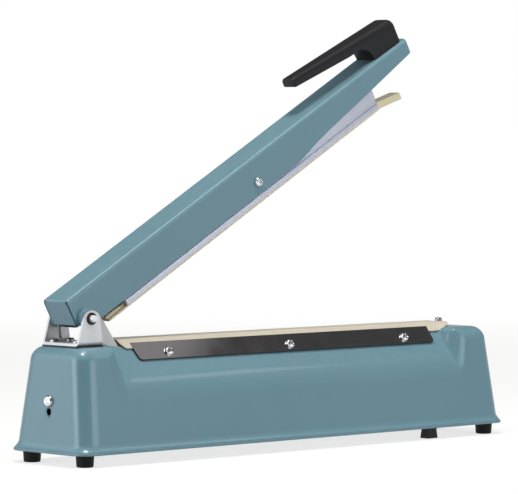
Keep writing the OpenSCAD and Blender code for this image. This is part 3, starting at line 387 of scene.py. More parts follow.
def dressed(tree, shader, colour, roughness, height, depth, strength):
    """Feed colour and roughness to the shader, and let a height tilt its normal; depth is in metres."""
    bump = node(tree, "Bump", {"Height": height, "Distance": depth, "Strength": strength})
    ends = {"Base Color": colour, "Roughness": roughness, "Normal": bump.outputs["Normal"]}
    for key, value in ends.items():
        feed(tree, shader.inputs[key], value)


# %% Enamel and metals
def enamel(name, colour):
    """Sprayed gloss enamel: nearly even colour, orange peel in the gloss, a little settled dust."""
    material, tree, shader, place = new_finish(name, {"Coat Weight": 0.4, "Coat Roughness": 0.1,
                                                      "Specular IOR Level": 0.28})
    skin = placed(tree, SKIN, place)
    dust = placed(tree, DUST, place, Amount=0.05)["Mask"]
    colour = blended(tree, dust, toned(tree, skin["Tone"], colour, 0.96, 1.04), PAINT_DUST)
    dressed(tree, shader, colour, ranged(tree, skin["Tone"], 0.31, 0.38), skin["Height"], 0.00012, 0.35)
    return material


def metal(name, colour, roughness, spread, stretch, depth, metallic=1.0, turn=0.0, cut_edge_shade=None):
    """Plated or drawn metal: drawn lines in the gloss and smudges in the roughness and tone. The lines
    can be turned about Y to follow a piece; a dull plating is metallic only in part, and a strip cut from
    polished sheet gets a dark colour on the faces that look down: partly its dull cut edge, partly painted
    shade along the line under the strip."""
    material, tree, shader, place = new_finish(name, {"Metallic": metallic})
    if turn:
        place = node(tree, "Mapping", {"Vector": place, "Rotation": (0.0, turn, 0.0)}).outputs["Vector"]
    lines = placed(tree, LINES, place, Stretch=stretch)
    colour = toned(tree, lines["Smudge"], colour, 0.9, 1.06)
    # Faces that look down take a dark colour: partly the dull cut edge, partly painted shade under the strip.
    if cut_edge_shade:
        colour = blended(tree, ramp(tree, looking_up(tree), [(0.0, 1.0), (0.3, 0.0)]), colour, cut_edge_shade)
    dressed(tree, shader, colour, ranged(tree, lines["Smudge"], roughness, roughness + spread),
            lines["Height"], depth, 0.5)
    return material


# %% Plastics, rubbers, cloth and lamp
def moulding(name, colour, roughness, spread, grain, depth, dust, specular=0.5):
    """Moulded plastic or rubber: mould grain, polished where it is handled, dust where it lies."""
    material, tree, shader, place = new_finish(name, {"Specular IOR Level": specular})
    skin = placed(tree, GRAIN, place, Grain=grain)
    lying = placed(tree, DUST, place, Amount=dust)["Mask"]
    colour = blended(tree, lying, toned(tree, skin["Worn"], colour, 0.85, 1.2), BLACK_DUST)
    dressed(tree, shader, colour, ranged(tree, skin["Worn"], roughness, roughness + spread),
            skin["Height"], depth, 0.6)
    return material


def coated_cloth(name, colour):
    """Glass cloth soaked in a non-stick coat: the weave shows through a waxy, smudged skin."""
    material, tree, shader, place = new_finish(name, {"Specular IOR Level": 0.4, "Sheen Weight": 0.1})
    weave = placed(tree, WEAVE, node(tree, "TexCoord", {}).outputs["UV"])
    tone = placed(tree, SKIN, place, Grain=260.0)["Tone"]
    colour = blended(tree, weave["Gap"], toned(tree, tone, colour, 0.9, 1.08), shade(colour, 0.78))
    dressed(tree, shader, colour, ranged(tree, tone, 0.36, 0.55), weave["Height"], 0.00006, 0.5)
    return material


def lens_glass(name, colour):
    """Clear coloured lens: smooth, with moulded streaks and a coat."""
    material, tree, shader, place = new_finish(name, {"Coat Weight": 0.4, "Coat Roughness": 0.1,
                                                      "Transmission Weight": 0.35})
    lines = placed(tree, LINES, place, Stretch=(300, 300, 900))
    colour = toned(tree, lines["Smudge"], colour, 0.75, 1.15)
    dressed(tree, shader, colour, 0.08, lines["Height"], 0.00003, 0.4)
    return material


# %% Finish list
FINE = (900.0, 900.0, 900.0)
ALONG_X = (25.0, 1600.0, 1600.0)
# A metal: colour, roughness and its spread, stretch and depth of the lines, metallic share, their turn
# A moulding: colour, roughness and its spread, scale and depth of the grain, dust, specular level
FINISH = {
    "paint": enamel("enamel", (0.148, 0.277, 0.337)),
    "sheet_steel": metal("zinc_sheet", (0.55, 0.56, 0.58), 0.34, 0.2, FINE, 0.00003),
    "nickel": metal("nickel_plate", (0.645, 0.635, 0.645), 0.36, 0.12, (1500, 40, 1500), 0.00001, 0.4),
    # The strip's downward faces carry painted shade as well as its dark cut edge.
    "polished_steel": metal("polished_strip", (0.56, 0.54, 0.55), 0.07, 0.07, ALONG_X, 0.000004,
                            cut_edge_shade=(0.05, 0.045, 0.045)),
    "screw_steel": metal("bright_screw", (0.72, 0.71, 0.72), 0.18, 0.12, FINE, 0.00001),
    "spring_steel": metal("oiled_wire", (0.16, 0.15, 0.15), 0.3, 0.15, (300, 1500, 300), 0.00002),
    "black_steel": metal("black_oxide", (0.035, 0.033, 0.033), 0.42, 0.15, FINE, 0.00002),
    "aluminium": metal("anodised_bar", (0.63, 0.64, 0.73), 0.48, 0.06, (12, 1500, 1500), 0.000005, 0.5, OPEN),
    "hot_wire": metal("resistance_wire", (0.42, 0.39, 0.36), 0.35, 0.15, ALONG_X, 0.00001),
    "brass": metal("dull_brass", (0.44, 0.39, 0.28), 0.36, 0.15, FINE, 0.00002),
    "core_steel": metal("varnished_core", (0.12, 0.11, 0.11), 0.4, 0.1, (30, 1600, 30), 0.0002),
    "foot_rubber": moulding("foot_rubber", (0.004, 0.004, 0.005), 0.55, 0.2, 900.0, 0.00006, 0.02, 0.2),
    "gasket_rubber": moulding("gasket_rubber", (0.014, 0.014, 0.014), 0.6, 0.2, 1200.0, 0.00005, 0.08),
    "black_plastic": moulding("black_moulding", (0.009, 0.008, 0.011), 0.36, 0.14, 1500.0, 0.00003, 0.03,
                              0.3),
    "handle_plastic": moulding("handle_moulding", (0.012, 0.0115, 0.014), 0.46, 0.1, 1300.0, 0.00004, 0.01,
                               0.22),
    "silicone": moulding("silicone_rubber", (0.94, 0.775, 0.53), 0.62, 0.16, 1000.0, 0.00003, 0.10, 0.35),
    "seat_board": moulding("pressed_board", (0.16, 0.075, 0.035), 0.5, 0.15, 700.0, 0.00004, 0.05),
    "coil_tape": moulding("coil_tape", (0.30, 0.14, 0.03), 0.4, 0.15, 500.0, 0.00006, 0.05),
    "board": moulding("circuit_board", (0.02, 0.10, 0.04), 0.35, 0.15, 600.0, 0.00003, 0.05),
    "cloth": coated_cloth("coated_cloth", (0.66, 0.60, 0.495)),
    "lamp": lens_glass("lamp_lens", (0.55, 0.02, 0.015)),
}
BRIGHT_PIN = metal("bright_pin", (0.86, 0.86, 0.88), 0.4, 0.1, FINE, 0.00001, 0.3)
DULL_SCREW = metal("dull_screw", (0.38, 0.36, 0.35), 0.36, 0.15, FINE, 0.00001)
SLOTS = {part["node"]: part["material_slot"] for part in frame["record"]["subparts"]}
for name, made in NODES.items():
    made.data.materials.clear()
    made.data.materials.append(FINISH[SLOTS[name]])
print("finishes:", len(FINISH), "nodes dressed:", len(NODES))

# %% [markdown]
# ## Mesh helpers
# Every new piece is a part: a grid of points worked out as whole arrays, and its faces. The helpers
# below turn a grid into faces, round the corners of an outline, stack an outline into a slab, turn a
# profile round an axis, and put the part into Blender with its finish, its body and its slot.

# %% Grid and piece
SHARP = math.radians(38)
FLAT = math.radians(1.0)
MERGE, CAD_MERGE = 2e-7, 1e-6


def grid_faces(rows, columns, round_rows=False, round_columns=False):
    """Corner numbers of a grid's quads: a point, its neighbour, and the two in the next row."""
    row, column = np.meshgrid(np.arange(rows - (not round_rows)), np.arange(columns - (not round_columns)),
                              indexing="ij")
    below, beside = (row + 1) % rows, (column + 1) % columns
    quads = np.stack([row * columns + column, row * columns + beside,
                      below * columns + beside, below * columns + column], -1)
    return quads.reshape(-1, 4).tolist()


def cleaned(mesh, merge, outward=False, flat=False):
    """Merge a mesh's doubles, then turn its normals out or join its flat faces, if asked."""
    shape = bmesh.new()
    shape.from_mesh(mesh)
    bmesh.ops.remove_doubles(shape, verts=shape.verts, dist=merge)
    if outward:
        bmesh.ops.recalc_face_normals(shape, faces=shape.faces)
    if flat:
        bmesh.ops.dissolve_limit(shape, angle_limit=FLAT, verts=shape.verts, edges=shape.edges)
    shape.to_mesh(mesh)
    shape.free()


def entered(name, mesh, slot, body, nodes, finish):
    """Object for a mesh, smooth up to a crease, with its finish, its body, its nodes and its slot."""
    mesh.shade_smooth()
    mesh.set_sharp_from_angle(angle=SHARP)
    mesh.materials.clear()
    mesh.materials.append(finish or FINISH[slot])
    made = linked(name, mesh)
    if body:
        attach(made, body)
    if nodes:
        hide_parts(*nodes)
    return made


def piece(name, part, slot, body, nodes=(), outward=True, finish=None):
    """Piece from a part in millimetres; an open sheet keeps the way its faces look."""
    points, faces = part
    mesh = bpy.data.meshes.new(name)
    mesh.from_pydata((np.asarray(points).reshape(-1, 3) * MM).tolist(), [], faces)
    cleaned(mesh, MERGE, outward=outward)
    print(f"{name}: {len(mesh.polygons)} faces")
    return entered(name, mesh, slot, body, nodes, finish)


def joined(parts):
    """Several parts as one: each part's corner numbers move up by the points before it."""
    points, faces, count = [], [], 0
    for part_points, part_faces in parts:
        points.append(np.asarray(part_points).reshape(-1, 3))
        faces += [[corner + count for corner in face] for face in part_faces]
        count += len(points[-1])
    return np.concatenate(points), faces


# %% Outlines and slabs
def unit(vectors):
    """Vectors brought to length one."""
    return vectors / np.linalg.norm(vectors, axis=-1, keepdims=True)


def row(first, second):
    """Points whose two coordinates are lists, or one number for all."""
    return np.column_stack(np.broadcast_arrays(first, second))


def drawn(distance, radius):
    """How far a rounded end has drawn in at a distance from its face."""
    return radius - np.sqrt(radius ** 2 - np.clip(radius - distance, 0, radius) ** 2)


def rounded(corners, radius, steps):
    """Polygon with arcs for corners: each arc runs between the points where it leaves the edges."""
    corners = np.asarray(corners, float)
    radius = np.broadcast_to(np.asarray(radius, float), len(corners))[:, None]
    back = unit(np.roll(corners, 1, 0) - corners)
    ahead = unit(np.roll(corners, -1, 0) - corners)
    half = np.arccos(np.clip((back * ahead).sum(1, keepdims=True), -1, 1)) / 2
    centre = corners + unit(back + ahead) * radius / np.sin(half)
    start = corners + back * radius / np.tan(half) - centre
    end = corners + ahead * radius / np.tan(half) - centre
    turn = (np.pi - 2 * half)[:, None]
    share = np.linspace(0, 1, steps)[None, :, None]
    arcs = (start[:, None] * np.sin((1 - share) * turn) + end[:, None] * np.sin(share * turn)) / np.sin(turn)
    return (centre[:, None] + arcs).reshape(-1, 2)


def inset(outline, distance):
    """Counter-clockwise outline drawn in: each point moves along its two edges' mitred normal."""
    edge = np.roll(outline, -1, 0) - outline
    edge /= np.linalg.norm(edge, axis=1, keepdims=True) + 1e-12
    normal = np.stack([-edge[:, 1], edge[:, 0]], 1)
    mitre = normal + np.roll(normal, 1, 0)
    return outline + mitre * 2 * distance / (mitre ** 2).sum(1, keepdims=True)


def stacked(rings):
    """Closed solid from rings of equal length: quads between the rings and a face on each end."""
    rings = np.asarray(rings)
    count, size = rings.shape[:2]
    faces = grid_faces(count, size, round_columns=True)
    faces.append(list(range(size))[::-1])
    faces.append(list(range((count - 1) * size, count * size)))
    return rings, faces


def slab(outline, low, high, edge, steps=4):
    """Outline carried from low to high with quarter-round edges on both ends."""
    turn = np.linspace(0, QUARTER, steps)
    draw, rise = edge * (1 - np.sin(turn)), edge * (1 - np.cos(turn))
    draws = np.concatenate([draw, draw[::-1]])
    levels = np.concatenate([low + rise, high - rise[::-1]])
    return stacked([np.column_stack([inset(outline, d), np.full(len(outline), z)])
                    for d, z in zip(draws, levels)])


def turned(profile, steps):
    """Profile of radius and height turned round the Z axis; ends on the axis close as poles."""
    profile = np.asarray(profile, float)
    angle = np.linspace(0, 2 * np.pi, steps, endpoint=False)[:, None]
    points = np.stack([np.cos(angle) * profile[:, 0], np.sin(angle) * profile[:, 0],
                       np.broadcast_to(profile[:, 1], (steps, len(profile)))], -1)
    return points, grid_faces(steps, len(profile), round_rows=True)


def moved(part, origin, across, along, out):
    """Part with its X, Y and Z laid on three directions from an origin."""
    points, faces = part
    points = np.asarray(points).reshape(-1, 3)
    return np.asarray(origin) + points @ np.array([across, along, out], float), faces


# %% Softened copies
def softened(node_name, width, body, finish):
    """Copy of a CAD node with its triangles merged, its flat faces joined and its edges rounded."""
    mesh = NODES[node_name].data.copy()
    cleaned(mesh, CAD_MERGE, flat=True)
    made = entered(node_name + "_soft", mesh, SLOTS[node_name], body, [node_name], finish)
    bevel = made.modifiers.new("edges", "BEVEL")
    bevel.width = width * MM
    bevel.segments = 3
    bevel.limit_method = "ANGLE"
    bevel.angle_limit = math.radians(45)
    bevel.use_clamp_overlap = True


# %% Shells
RAY_REACH, HALVINGS = 420.0, 34


def both(first, second, radius):
    """Depth inside two shapes at once, with their shared edge rounded to a radius."""
    near = np.hypot(np.maximum(radius - first, 0), np.maximum(radius - second, 0))
    return np.maximum(radius, np.minimum(first, second)) - near


def either(first, second, radius):
    """Depth inside either of two shapes, with the corner between them filled to a radius."""
    near = np.hypot(np.maximum(radius + first, 0), np.maximum(radius + second, 0))
    return near - np.maximum(radius, -np.maximum(first, second))


def found(inside, start, way, level):
    """Points where rays leave a shape: the span is halved until the depth there equals the level."""
    near = np.zeros(start.shape[:-1])
    far = np.full(start.shape[:-1], RAY_REACH)
    for _ in range(HALVINGS):
        middle = (near + far) / 2
        held = inside(start + way * middle[..., None]) > level
        near = np.where(held, middle, near)
        far = np.where(held, far, middle)
    return start + way * near[..., None]


def shell(outline, spine, low, middle, inside, hollow, wall, shares, turns):
    """Thin shell, open below. Rays leave a spine towards each point of the outline: level ones give the
    sides, from the low edge up to the middle height by shares, and a fan from level to upright gives
    the top. The outer skin is where a ray leaves inside, the inner one where hollow falls to the wall."""
    count = len(outline)
    origin, way = np.zeros((count, 3)), np.zeros((count, 3))
    origin[:, 0] = np.clip(outline[:, 0], *spine)
    way[:, :2] = outline - origin[:, :2]
    way = unit(way)
    low = np.broadcast_to(low, count)
    start = np.repeat(origin[None], len(shares) + len(turns), 0)
    start[:len(shares), :, 2] = low + shares[:, None] * (middle - low)
    start[len(shares):, :, 2] = middle
    fan = way[None] * np.cos(turns)[:, None, None] + np.array([0, 0, 1.0]) * np.sin(turns)[:, None, None]
    ways = np.concatenate([np.repeat(way[None], len(shares), 0), fan])
    rows = np.concatenate([found(inside, start, ways, 0.0)[::-1], found(hollow, start, ways, wall)])
    return rows, grid_faces(len(rows), count, round_columns=True)


def box_mm(name):
    """Lowest and highest corner of a CAD node in millimetres."""
    return [np.array(corner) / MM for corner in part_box(name)]


print("helpers ready")

# %% [markdown]
# ## Housing
# The housing is an aluminium casting under paint: drafted walls, a rim that flares through a
# cove, a rounded top, and two shoulders that slope away from the ridge and end in soft hollows.
# Subdividing a rough box would not hold these radii, so the shape is written as a depth function:
# how far a point lies inside the walls, the top and the shoulders, with each edge rounded. Rays
# from a spine then find the skin.

# %% Housing sizes
HOUSE_LOW, HOUSE_HIGH = box_mm("body_shell")
LENGTH, WIDTH = HOUSE_HIGH[0] - HOUSE_LOW[0], HOUSE_HIGH[1] - HOUSE_LOW[1]
RIM_Z, TOP_Z = HOUSE_LOW[2], HOUSE_HIGH[2]
RIM_LIP, RIM_FLARE, COVE_H, RIM_EDGE = 1.8, 2.7, 6.0, 0.5
SIDE_DRAFT, END_DRAFT = math.tan(math.radians(7.8)), math.tan(math.radians(4.3))
CORNER_R, TOP_R, RIDGE_R = 12.0, 9.0, 2.0
BLEND, HUMP_LOW_R, HUMP_HIGH_R, TURN_OVER = 5.0, 9.0, 4.5, 6.0
RIDGE_W, SLOPE = 22.4, math.radians(52)
SLOPE_SIN, SLOPE_COS = math.sin(SLOPE), math.cos(SLOPE)
SHOULDER_X, SHOULDER_R, LEAN = (-160.0, 159.5), 1.8, math.radians(24)
HOUSE_WALL, HOUSE_MIDDLE = 3.9, 44.0
COVE_Z = RIM_Z + RIM_LIP + COVE_H


def drawn_in(z, draft):
    """Distance from the rim's edge to the wall: rounded lip, parabolic cove, straight draft."""
    up = z - RIM_Z
    lip = drawn(RIM_LIP - up, RIM_EDGE) * (up <= RIM_LIP)
    share = np.clip((up - RIM_LIP) / COVE_H, 0, 1)
    cove = RIM_FLARE * (1 - (1 - share) ** 2)
    return drawn(up, RIM_EDGE) + np.maximum(lip, cove) + np.maximum(z - COVE_Z, 0) * draft


def depth_in_plan(x, y, half_l, half_w, radius):
    """Depth inside a rounded rectangle."""
    over_x, over_y = np.abs(x) - half_l + radius, np.abs(y) - half_w + radius
    beyond = np.hypot(np.maximum(over_x, 0), np.maximum(over_y, 0))
    return radius - beyond - np.minimum(np.maximum(over_x, over_y), 0)


def inside_housing(p):
    """Depth inside the walls and under the top, and below the slope or beyond a shoulder's end. Edges of
    the slope roll by a small reach, edges of the shoulder's end by a wide one, and by a share between."""
    x, y, z = np.moveaxis(p, -1, 0)
    half_l, half_w = LENGTH / 2 - drawn_in(z, END_DRAFT), WIDTH / 2 - drawn_in(z, SIDE_DRAFT)
    wall = depth_in_plan(x, y, half_l, half_w, CORNER_R)
    top = TOP_Z - z
    slope = -((np.abs(y) - RIDGE_W / 2) * SLOPE_SIN + (z - TOP_Z) * SLOPE_COS)
    beyond = np.maximum(x - SHOULDER_X[1], SHOULDER_X[0] - x)
    end = (beyond + slope * math.tan(LEAN)) * math.cos(LEAN)
    cut = either(slope, end, SHOULDER_R)
    sloping = np.clip((slope - end) / (2 * TURN_OVER) + 0.5, 0, 1)
    low_edge = both(wall, cut, HUMP_LOW_R + (BLEND - HUMP_LOW_R) * sloping)
    high_edge = both(top, cut, HUMP_HIGH_R + (RIDGE_R - HUMP_HIGH_R) * sloping)
    return np.minimum(np.minimum(both(wall, top, TOP_R), low_edge), high_edge)


# %% Housing
SPINE_X, CORNER_STEPS, END_STEPS = 172.0, 15, 24
# Stations along the long walls: from, to and step, packed where the shoulders end
STATIONS = [(-190, -170, 2.0), (-170, -146, 0.7), (-146, 150, 6.0), (150, 176, 0.7), (176, 192, 2.0)]
LIP_TURN = 1.57
WALL_FROM, WALL_STOP, WALL_STEPS = 8.6, 2.0, 8
END_HOLE_Z, END_HOLE_D, END_HOLE_LIP = RIM_Z + 27.8, 4.8, 0.55
OUTSIDE, THROUGH, BEHIND = 4.0, 12.0, 8.0


def plan_outline(half_l, half_w, radius, long_x, steps):
    """Counter-clockwise rounded rectangle with chosen stations along its two long sides."""
    corners = [(half_l, -half_w), (half_l, half_w), (-half_l, half_w), (-half_l, -half_w)]
    arcs = rounded(corners, radius, steps).reshape(4, steps, 2)
    end_y = np.linspace(-half_w + radius, half_w - radius, END_STEPS)[1:-1]
    return np.concatenate([arcs[0], row(half_l, end_y), arcs[1], row(long_x[::-1], half_w),
                           arcs[2], row(-half_l, end_y[::-1]), arcs[3], row(long_x, -half_w)])


def cut_round(made, x, diameter, length):
    """Bore a round hole into the end wall from x on: a turned plug is taken away with a Boolean."""
    plug = turned([(0, 0), (diameter / 2, 0), (diameter / 2, length), (0, length)], 40)
    plug = moved(plug, (x, 0, END_HOLE_Z), (0, 0, 1), (0, 1, 0), (1, 0, 0))
    cutter = piece("cutter", plug, "black_steel", None)
    step = made.modifiers.new("hole", "BOOLEAN")
    step.object = cutter
    step.operation = "DIFFERENCE"
    step.solver = "EXACT"
    bpy.context.view_layer.update()
    result = bpy.data.meshes.new_from_object(made.evaluated_get(bpy.context.evaluated_depsgraph_get()))
    made.modifiers.clear()
    made.data = result
    bpy.data.objects.remove(cutter)


def end_wall(z):
    """X of the left end wall at a height."""
    return -LENGTH / 2 + float(drawn_in(np.array(z), END_DRAFT))


long_stations = np.concatenate([np.arange(*span) for span in STATIONS])
rim_heights = np.concatenate([np.linspace(0, RIM_EDGE, 5), [1.0, 1.6],
                              RIM_LIP - RIM_EDGE + RIM_EDGE * np.sin(np.linspace(0, LIP_TURN, 5)),
                              RIM_LIP + COVE_H * np.linspace(0.08, 1, 9),
                              np.linspace(WALL_FROM, HOUSE_MIDDLE - RIM_Z - WALL_STOP, WALL_STEPS)])
house_outline = plan_outline(LENGTH / 2, WIDTH / 2, CORNER_R, long_stations, CORNER_STEPS)
house_part = shell(house_outline, (-SPINE_X, SPINE_X), RIM_Z, HOUSE_MIDDLE, inside_housing, inside_housing,
                   HOUSE_WALL, rim_heights / (HOUSE_MIDDLE - RIM_Z), np.linspace(0, QUARTER, 56))
housing = piece("housing", house_part, "paint", "base", ["body_shell"])
cut_round(housing, end_wall(END_HOLE_Z) - OUTSIDE, END_HOLE_D, THROUGH)
cut_round(housing, end_wall(END_HOLE_Z) + END_HOLE_LIP, 2 * END_HOLE_D, BEHIND)
print("housing faces:", len(housing.data.polygons))

# %% [markdown]
# ## Arm
# The arm is one folded steel channel, painted with the housing: two sides under a flat top, a
# flap turned down at the rear with relief slits, and a closed round nose. It uses the same shell
# maker in the arm's own frame: u runs along the arm from the hinge pin and v stands square to it.

# %% Arm frame and shape
PIVOT = np.array(HINGE["pos_m"]) / MM
ALONG = np.array([math.cos(OPEN), 0.0, math.sin(OPEN)])
UPWARD = np.array([-math.sin(OPEN), 0.0, math.cos(OPEN)])
ACROSS = np.array([0.0, 1.0, 0.0])
ARM_L, ARM_TAIL, ARM_W, ARM_T, ARM_TOP, ARM_MIDDLE = 363.55, 8.8, 25.3, 1.2, 18.9, 12.0
FOLD_R, NOSE_R, REAR_R = 2.5, 6.0, 0.25
SKIRT, FLAP_V, CUT_U, TIP_R = -7.0, -0.4, 7.4, 3.0
TAPER_U = (216.0, 228.0, 246.0, 262.0, 290.0, 360.55)
TAPER_V = (-7.0, -6.2, -2.9, -1.0, 1.3, 7.9)
SLIT_Y, SLIT_W, RELIEF_R, SLIT_DEEP = 11.15, 0.6, 1.3, 1.1
FAR = 600.0


def on_arm(part):
    """Part in the arm's frame (u, y, v) brought into the frame of the model."""
    return moved(part, PIVOT, ALONG, ACROSS, UPWARD)


def skirt_edge(u):
    """Height of the channel's lower edge: rising to the rear flap, level, then tapering to the nose."""
    rear = FLAP_V + (SKIRT - FLAP_V) * np.clip((u + ARM_TAIL) / (CUT_U + ARM_TAIL), 0, 1)
    taper = np.interp(u, TAPER_U, TAPER_V) - SKIRT
    return rear + taper + drawn(ARM_L - u, TIP_R)


def arm_block(p):
    """Depth inside the channel as a solid block: sides and nose, folded top edges, rear fold."""
    u, y, v = np.moveaxis(p, -1, 0)
    plan = depth_in_plan(u - ARM_L + FAR, y, FAR, ARM_W / 2, NOSE_R)
    tail = both(ARM_W / 2 - np.abs(y), u + ARM_TAIL, REAR_R)
    return both(np.minimum(plan, tail), ARM_TOP - v, FOLD_R)


def inside_arm(p):
    """The block less the relief slits and holes beside the rear flap."""
    u, y, v = np.moveaxis(p, -1, 0)
    off = np.abs(np.abs(y) - SLIT_Y)
    behind = u + ARM_TAIL - SLIT_DEEP
    slit = np.maximum(np.maximum(off - SLIT_W / 2, behind), v - ARM_TOP + FOLD_R)
    relief = np.maximum(np.hypot(off, v - ARM_TOP + FOLD_R) - RELIEF_R, behind)
    return np.minimum(arm_block(p), np.minimum(slit, relief))


# %% Arm
SLIT_STATIONS = np.array([-1.6, -1.0, -0.6, -0.31, -0.29, -0.15, 0, 0.15, 0.29, 0.31, 0.6, 1.0, 1.3])
REAR_STATIONS = np.array([0, 0.12, 0.3, 0.8])
FLAP_SPAN, BOSS_SPAN, LONG_SPAN = (-9, 9, 10), (-7, 8, 12), (14, 344, 56)
NOSE_STEPS, ARM_SPINE = 16, (4.0, ARM_L - ARM_W / 2)


def arm_outline():
    """Counter-clockwise footprint with stations packed at the slits, the rear corner and the nose."""
    half = ARM_W / 2
    slit = SLIT_Y + SLIT_STATIONS
    rear_y = np.concatenate([-slit[::-1], np.linspace(*FLAP_SPAN), slit])[::-1]
    side_u = np.concatenate([-ARM_TAIL + REAR_STATIONS, np.linspace(*BOSS_SPAN), np.linspace(*LONG_SPAN)])
    corner = rounded([(ARM_L, -half), (ARM_L, half), (0, half), (0, -half)], NOSE_R, NOSE_STEPS)
    corner = corner.reshape(4, NOSE_STEPS, 2)
    front_y = np.linspace(-half + NOSE_R, half - NOSE_R, 8)[1:-1]
    return np.concatenate([row(side_u, -half), corner[0], row(ARM_L, front_y), corner[1],
                           row(side_u[::-1], half), row(-ARM_TAIL, rear_y[1:-1])])


arm_plan = arm_outline()
arm_shares = np.concatenate([np.linspace(0, 0.03, 3), np.linspace(0.08, 1.0, 13)[:-1]])
arm_part = shell(arm_plan, ARM_SPINE, skirt_edge(arm_plan[:, 0]), ARM_MIDDLE, inside_arm, arm_block, ARM_T,
                 arm_shares, np.linspace(0, QUARTER, 40))
piece("arm_sheet", on_arm(arm_part), "paint", "arm", ["arm_channel"])

# %% [markdown]
# ## Handle
# The handle is one black moulding: a flared root on the arm, a round-ended finger gap and a
# straight grip. It is a loft: each station joins a point on the top line to one on the underside
# with a section of rounded corners, and the first and last stations shrink to round the ends.

# %% Handle
ROOT_U1, ROOT_U0, GRIP_U0 = 359.05, 328.45, 252.05
TOP_V0, TOP_V1 = 45.4, 37.4
GRIP_W, ROOT_W, GRIP_T = 12.4, 21.4, 7.0
GAP_R, GAP_U, GAP_V, GAP_ARC = 13.0, 315.45, 19.4, (95, -2, 22)
UNDER_U, UNDER_V, TOP_AHEAD = 308.95, 32.4, 4.0
END_R, FRONT_R, FRONT_CORNER, TOP_EDGE, LOW_EDGE, EDGE_ROOM = 1.2, 4.0, 5.0, 0.55, 1.0, 0.1


def handle_loft():
    """Stations from the free end to the front; returns closed rings in the arm's frame."""
    end = GRIP_U0 + END_R * (1 - np.cos(np.linspace(0, QUARTER, 5)))
    grip = np.linspace(GRIP_U0 + END_R, UNDER_U, 14)[1:]
    fall = (TOP_V0 - TOP_V1) / (ROOT_U1 - GRIP_U0)
    under = np.interp(np.concatenate([end, grip]), [GRIP_U0, UNDER_U], [TOP_V0 - GRIP_T, UNDER_V])
    arc = np.radians(np.linspace(*GAP_ARC))
    corner_u = ROOT_U1 - FRONT_CORNER
    front = ROOT_U1 - FRONT_CORNER * (1 - np.sin(np.linspace(0, QUARTER, 9)))
    root = np.concatenate([np.linspace(ROOT_U0, corner_u, 8)[1:-1], front])
    low_u = np.concatenate([end, grip, GAP_U + GAP_R * np.cos(arc), root])
    low_v = np.concatenate([under, GAP_V + GAP_R * np.sin(arc), np.full(len(root), ARM_TOP)])
    top_u = np.concatenate([end, grip, np.linspace(UNDER_U + TOP_AHEAD, ROOT_U0 + TOP_AHEAD, len(arc)),
                            np.interp(root, [ROOT_U0, corner_u, ROOT_U1],
                                      [ROOT_U0 + TOP_AHEAD, corner_u, ROOT_U1])])
    top_v = np.interp(top_u, [GRIP_U0 + END_R, ROOT_U1 - FRONT_R], [TOP_V0 - END_R * fall, TOP_V1])
    top_v = top_v - drawn(ROOT_U1 - top_u, FRONT_R) - drawn(top_u - GRIP_U0, END_R)
    low_v = low_v + drawn(low_u - GRIP_U0, END_R)
    middle = (low_u + top_u) / 2
    half = GRIP_W / 2 + (ROOT_W - GRIP_W) / 2 * (middle - GRIP_U0) / (ROOT_U1 - GRIP_U0)
    half = half - drawn(ROOT_U1 - middle, FRONT_CORNER) - drawn(middle - GRIP_U0, END_R)
    rings = []
    for w, lu, lv, tu, tv in zip(half, low_u, low_v, top_u, top_v):
        height = math.hypot(tu - lu, tv - lv)
        crown = min(TOP_EDGE * w, height - LOW_EDGE - EDGE_ROOM)
        ring = rounded([(-w, 0), (w, 0), (w, height), (-w, height)], [LOW_EDGE, LOW_EDGE, crown, crown], 9)
        share = ring[:, 1] / height
        rings.append(np.column_stack([lu + (tu - lu) * share, ring[:, 0], lv + (tv - lv) * share]))
    return stacked(rings)


piece("handle_grip", on_arm(handle_loft()), "handle_plastic", "arm", ["handle"])

# %% [markdown]
# ## Pressure bar and strip
# Under the arm hangs an extruded aluminium bar with a groove along each side, and a soft silicone
# strip sits in a slot in its underside and spreads into a thin foot below it. The strip is longer
# than the bar: its loose tail at the nose droops.

# %% Pressure bar
BAR_U, BAR_V, BAR_W, BAR_H, BAR_EDGE = (40.0, 316.55), -14.1, 16.0, 20.1, 0.3
GROOVE_V, GROOVE_H, GROOVE_D = -8.0, 3.8, 0.8
STRIP_U, STRIP_V, STRIP_W, STRIP_T = (21.0, 343.05), -15.5, 10.0, 3.5
SLOT_GAP = 0.05
BAR_RADII = [0.2, 0.3, 0.4, 0.35, 0.35, 0.35, 0.35, 0.5]


def bar_section():
    """Counter-clockwise section: underside with the strip's slot, and a groove in each side."""
    w, top, slot = BAR_W / 2, BAR_V + BAR_H, STRIP_W / 2 + SLOT_GAP
    roof = STRIP_V + STRIP_T + SLOT_GAP
    low, high, deep = GROOVE_V - GROOVE_H / 2, GROOVE_V + GROOVE_H / 2, w - GROOVE_D
    groove = [(w, low), (deep, low), (deep, high), (w, high)]
    right = [(slot, roof), (slot, BAR_V), (w, BAR_V), *groove, (w, top)]
    corners = right + [(-y, v) for y, v in right[::-1]]
    return rounded(corners, BAR_RADII + BAR_RADII[::-1], 4)


def along_arm(part):
    """Slab whose outline is (y, v) and whose height is u, brought into the model's frame."""
    return moved(part, PIVOT, ACROSS, UPWARD, ALONG)


piece("bar_extrusion", along_arm(slab(bar_section(), *BAR_U, BAR_EDGE)), "aluminium", "arm", ["pressure_bar"])

# %% Silicone strip
TAIL_FROM, TAIL_DROOP, TAIL_T = 316.7, 5.4, 5.4
FOOT_W, FOOT_T = 14.8, 1.35
END_EDGE, TAIL_EDGE, NO_EDGE, STRIP_CORNER, TAIL_CORNER = 0.3, 0.5, 1e-6, 0.3, 0.5


def strip_outline(t, foot):
    """Bar of thickness t, or a T that stands on a wide thin foot below the slot's mouth."""
    w, f, h = STRIP_W / 2, FOOT_W / 2, FOOT_T
    if not foot:
        return rounded([(-w, 0), (w, 0), (w, t), (-w, t)], TAIL_CORNER, 4)
    right = [(f, 0), (f, h), (w, h), (w, t)]
    return rounded([(-f, 0), *right, (-w, t), (-w, h), (-f, h)], STRIP_CORNER, 4)


